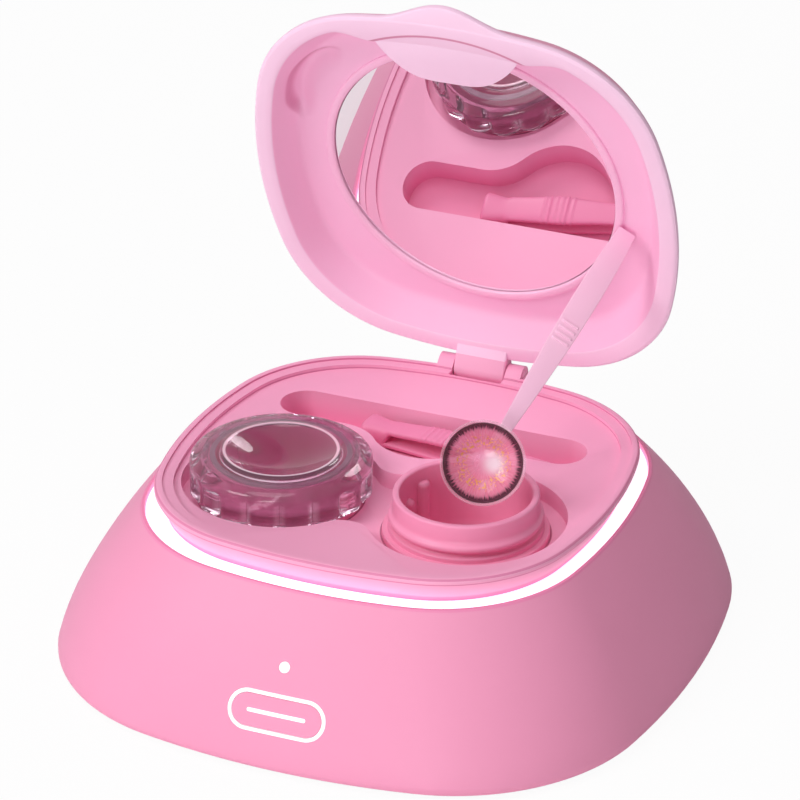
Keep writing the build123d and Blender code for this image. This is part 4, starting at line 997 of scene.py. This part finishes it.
class CLEANER_OT_tools(bpy.types.Operator):
    """Tweezers in the slot and the flat applicator"""

    bl_idname = "cleaner.tools"
    bl_label = "Tools"

    def execute(self, context):
        tweezers = self.bar(
            "slot_tweezers",
            ((0, 4.3), (0.14, 3.9), (0.42, 4.43), (1, 3.76)),
            ((0, 0), (0.12, 0), (0.16, 2.6), (0.42, 3.13), (1, 2.98)),
            ridged=True,
        )
        lower = self.bar("lower_arm", ((0.04, 1.4), (0.2, 1.3), (1, 0.78)), ((0, 0.02), (1, 0)))
        joined(tweezers, lower)
        smooth(tweezers, 50)
        butt = Vector((-13.6, 17.8, 25.1)) * MM
        turned = Matrix.Rotation(radians(-6), 4, "Z")
        tweezers.matrix_world = Matrix.Translation(butt) @ turned
        dress(tweezers, "tweezer", "tool_pink", finish_named("tool_pink"), "tweezers")
        stick = copy_of("applicator", "lens_stick")
        bevelled(stick, 0.3, 4, 40)
        smooth(stick, 35)
        dress(stick, "stick", "tool_pink", finish_named("stick_pink"), "applicator")
        return {"FINISHED"}

    def bar(self, name, top, under, ridged=False):
        """Rounded bar along the tweezers, between two side curves of (share of length, height)."""
        long, plan = 36.0, ((0, 3.0), (0.16, 2.3), (0.42, 2.6), (0.71, 2.0), (1, 1.4))
        grip_start, grip_end, ridge_high, ridge_pitch = 0.33, 0.51, 0.16, 0.54
        start = top[0][0]

        def level(points, share):
            for (low, first), (high, second) in zip(points, points[1:]):
                if share <= high:
                    t = max(0.0, (share - low) / (high - low))
                    return first + (second - first) * t * t * (3 - 2 * t)
            return points[-1][1]

        def section(share, scale):
            high, low, half = level(top, share), level(under, share), level(plan, share)
            if ridged and grip_start < share < grip_end:
                ridge = ridge_high * max(0, sin((share - grip_start) * long * pi / ridge_pitch))
                half += ridge
                high += ridge

            def ring(turn):
                side = copysign(abs(cos(turn)) ** 0.6, cos(turn)) * half * scale
                lift = copysign(abs(sin(turn)) ** 0.6, sin(turn)) * (high - low) / 2 * scale
                return share * long, side, (high + low) / 2 + lift

            return ring

        ends = [(start, 0.6), (start + 0.004, 0.82), (start + 0.012, 0.94)]
        count = 140 if ridged else 40
        body = [(start + 0.022 + (0.968 - start) * step / count, 1) for step in range(count + 1)]
        ends += body + [(0.996, 0.9), (1, 0.7)]
        return tube(name, [section(share, scale) for share, scale in ends], 32, capped=True)


class CLEANER_OT_contact_lens(bpy.types.Operator):
    """Coloured contact lens on the applicator's tip"""

    bl_idname = "cleaner.contact_lens"
    bl_label = "Contact Lens"

    def execute(self, context):
        radius, curve, thick, steps = 7.1, 8.6, 0.2, 16
        turn, tilt = radians(22.6), radians(27.2)
        facing = Vector((sin(turn) * cos(tilt), -cos(turn) * cos(tilt), sin(tilt)))
        across = Vector((cos(turn), sin(turn), 0))
        upward = facing.cross(across)
        depth = curve - sqrt(curve**2 - radius**2)
        apex = Vector((20.45, -12.3, 41.8)) - facing * depth
        outer = curve + thick
        spans = [radius * step / steps for step in range(steps + 1)]
        rings = [circle(span, curve - sqrt(curve**2 - span**2)) for span in spans]
        for span in reversed(spans):
            wide = span * outer / curve
            rings.append(circle(wide, curve - sqrt(outer**2 - wide**2)))
        piece = tube("lens_bowl", rings, 96)
        uv = piece.data.uv_layers.get("plan") or piece.data.uv_layers.new(name="plan")
        for loop in piece.data.loops:
            spot = piece.data.vertices[loop.vertex_index].co / MM
            uv.data[loop.index].uv = (0.5 + spot.x / (2 * radius), 0.5 + spot.y / (2 * radius))
        piece.matrix_world = Matrix(
            (
                (across.x, upward.x, facing.x, apex.x * MM),
                (across.y, upward.y, facing.y, apex.y * MM),
                (across.z, upward.z, facing.z, apex.z * MM),
                (0, 0, 0, 1),
            )
        )
        smooth(piece)
        dress(piece, "stick", "lens", finish_named("lens_tint"), "contact_lens")
        return {"FINISHED"}


class CLEANER_OT_stage(bpy.types.Operator):
    """Pale floor, white surroundings, soft lamps and the camera"""

    bl_idname = "cleaner.stage"
    bl_label = "Stage"

    def execute(self, context):
        self.floor()
        self.surroundings(context.scene)
        self.lamps(context.scene)
        self.camera(context.scene)
        context.scene.view_settings.view_transform = "Standard"
        return {"FINISHED"}

    def floor(self):
        """Floor that the camera sees as almost white, but for the object's shadow."""
        white_share = 0.95
        deselect()
        bpy.ops.mesh.primitive_plane_add(size=8)
        floor = bpy.context.object
        floor.name = "floor"
        finish = Finish("floor_white", (0.9, 0.9, 0.9), 0.7)
        tone = finish.noise(3, 2)
        finish.feed("Base Color", finish.mix(tone, (0.9, 0.9, 0.9), (0.94, 0.94, 0.94)))
        surface = Value(finish, finish.shader.outputs[0])
        seen = finish.add("ShaderNodeLightPath") * white_share
        glow = finish.add("ShaderNodeEmission")
        blend = finish.add("ShaderNodeMixShader", None, seen, surface, glow)
        finish.tree.links.new(blend.socket, finish.tree.nodes["Material Output"].inputs[0])
        set_finish(floor, finish.material)

    def surroundings(self, scene):
        """Faint pink fill that camera, glossy and transmitted rays see as white."""
        world = bpy.data.worlds.new("studio")
        scene.world = world
        world.use_nodes = True
        nodes, links = world.node_tree.nodes, world.node_tree.links
        fill = nodes["Background"]
        fill.inputs["Color"].default_value = (1.0, 0.8, 0.93, 1)
        fill.inputs["Strength"].default_value = 0.19
        white = nodes.new("ShaderNodeBackground")
        path = nodes.new("ShaderNodeLightPath")
        sees_white = path.outputs["Is Camera Ray"]
        for ray in ("Is Transmission Ray", "Is Glossy Ray"):
            either = nodes.new("ShaderNodeMath")
            either.operation = "MAXIMUM"
            links.new(sees_white, either.inputs[0])
            links.new(path.outputs[ray], either.inputs[1])
            sees_white = either.outputs[0]
        blend = nodes.new("ShaderNodeMixShader")
        for source, socket in zip((sees_white, fill.outputs[0], white.outputs[0]), blend.inputs):
            links.new(source, socket)
        links.new(blend.outputs[0], nodes["World Output"].inputs[0])

    def lamps(self, scene):
        """Round soft lamps in metres and watts, all aimed at the tray."""
        tray = Vector((0, 0, 0.04))
        for name, spot, size, power in (
            ("key_lamp", (-0.7, -0.84, 1.0), 0.7, 9.0),
            ("top_lamp", (-0.1, -0.3, 1.45), 0.9, 6.2),
            ("front_lamp", (0.2, -1.15, 0.07), 0.5, 5.2),
        ):
            lamp = bpy.data.lights.new(name, "AREA")
            lamp.shape, lamp.size, lamp.energy = "DISK", size, power
            holder = bpy.data.objects.new(name, lamp)
            holder.location = spot
            holder.rotation_euler = (tray - Vector(spot)).to_track_quat("-Z", "Y").to_euler()
            scene.collection.objects.link(holder)

    def camera(self, scene):
        """The photograph's own camera, in metres, solved from the object's outlines."""
        camera = bpy.data.cameras.new("camera")
        camera.sensor_width, camera.lens = 36, 200.44
        camera.clip_start, camera.clip_end = 0.05, 20
        holder = bpy.data.objects.new("camera", camera)
        scene.collection.objects.link(holder)
        holder.location = (0.26118, -0.62720, 0.39318)
        aim = Vector((-0.002562, 0.006724, 0.040112))
        holder.rotation_euler = (aim - holder.location).to_track_quat("-Z", "Y").to_euler()
        scene.camera = holder


class CLEANER_PT_panel(bpy.types.Panel):
    bl_label = "Lens Cleaner"
    bl_idname = "CLEANER_PT_panel"
    bl_space_type = "VIEW_3D"
    bl_region_type = "UI"
    bl_category = "Lens Cleaner"

    def draw(self, context):
        for group in (context.scene.cleaner_colours, context.scene.cleaner_sizes):
            box = self.layout.box()
            for key in group.bl_rna.properties.keys():
                if key not in ("rna_type", "name"):
                    box.prop(group, key)
        for operator in OPERATORS:
            self.layout.operator(operator.bl_idname)


OPERATORS = (
    CLEANER_OT_stage,
    CLEANER_OT_housing,
    CLEANER_OT_light_ring,
    CLEANER_OT_tray,
    CLEANER_OT_cups,
    CLEANER_OT_cap,
    CLEANER_OT_power_key,
    CLEANER_OT_lid,
    CLEANER_OT_tools,
    CLEANER_OT_contact_lens,
)
CLASSES = (CleanerColours, CleanerSizes, *OPERATORS, CLEANER_PT_panel)


def register():
    for item in CLASSES:
        bpy.utils.register_class(item)
    bpy.types.Scene.cleaner_colours = PointerProperty(type=CleanerColours)
    bpy.types.Scene.cleaner_sizes = PointerProperty(type=CleanerSizes)


def unregister():
    del bpy.types.Scene.cleaner_sizes
    del bpy.types.Scene.cleaner_colours
    for item in reversed(CLASSES):
        bpy.utils.unregister_class(item)


def main():
    register()
    for operator in OPERATORS:
        group, name = operator.bl_idname.split(".")
        getattr(getattr(bpy.ops, group), name)()


if __name__ == "__main__":
    main()
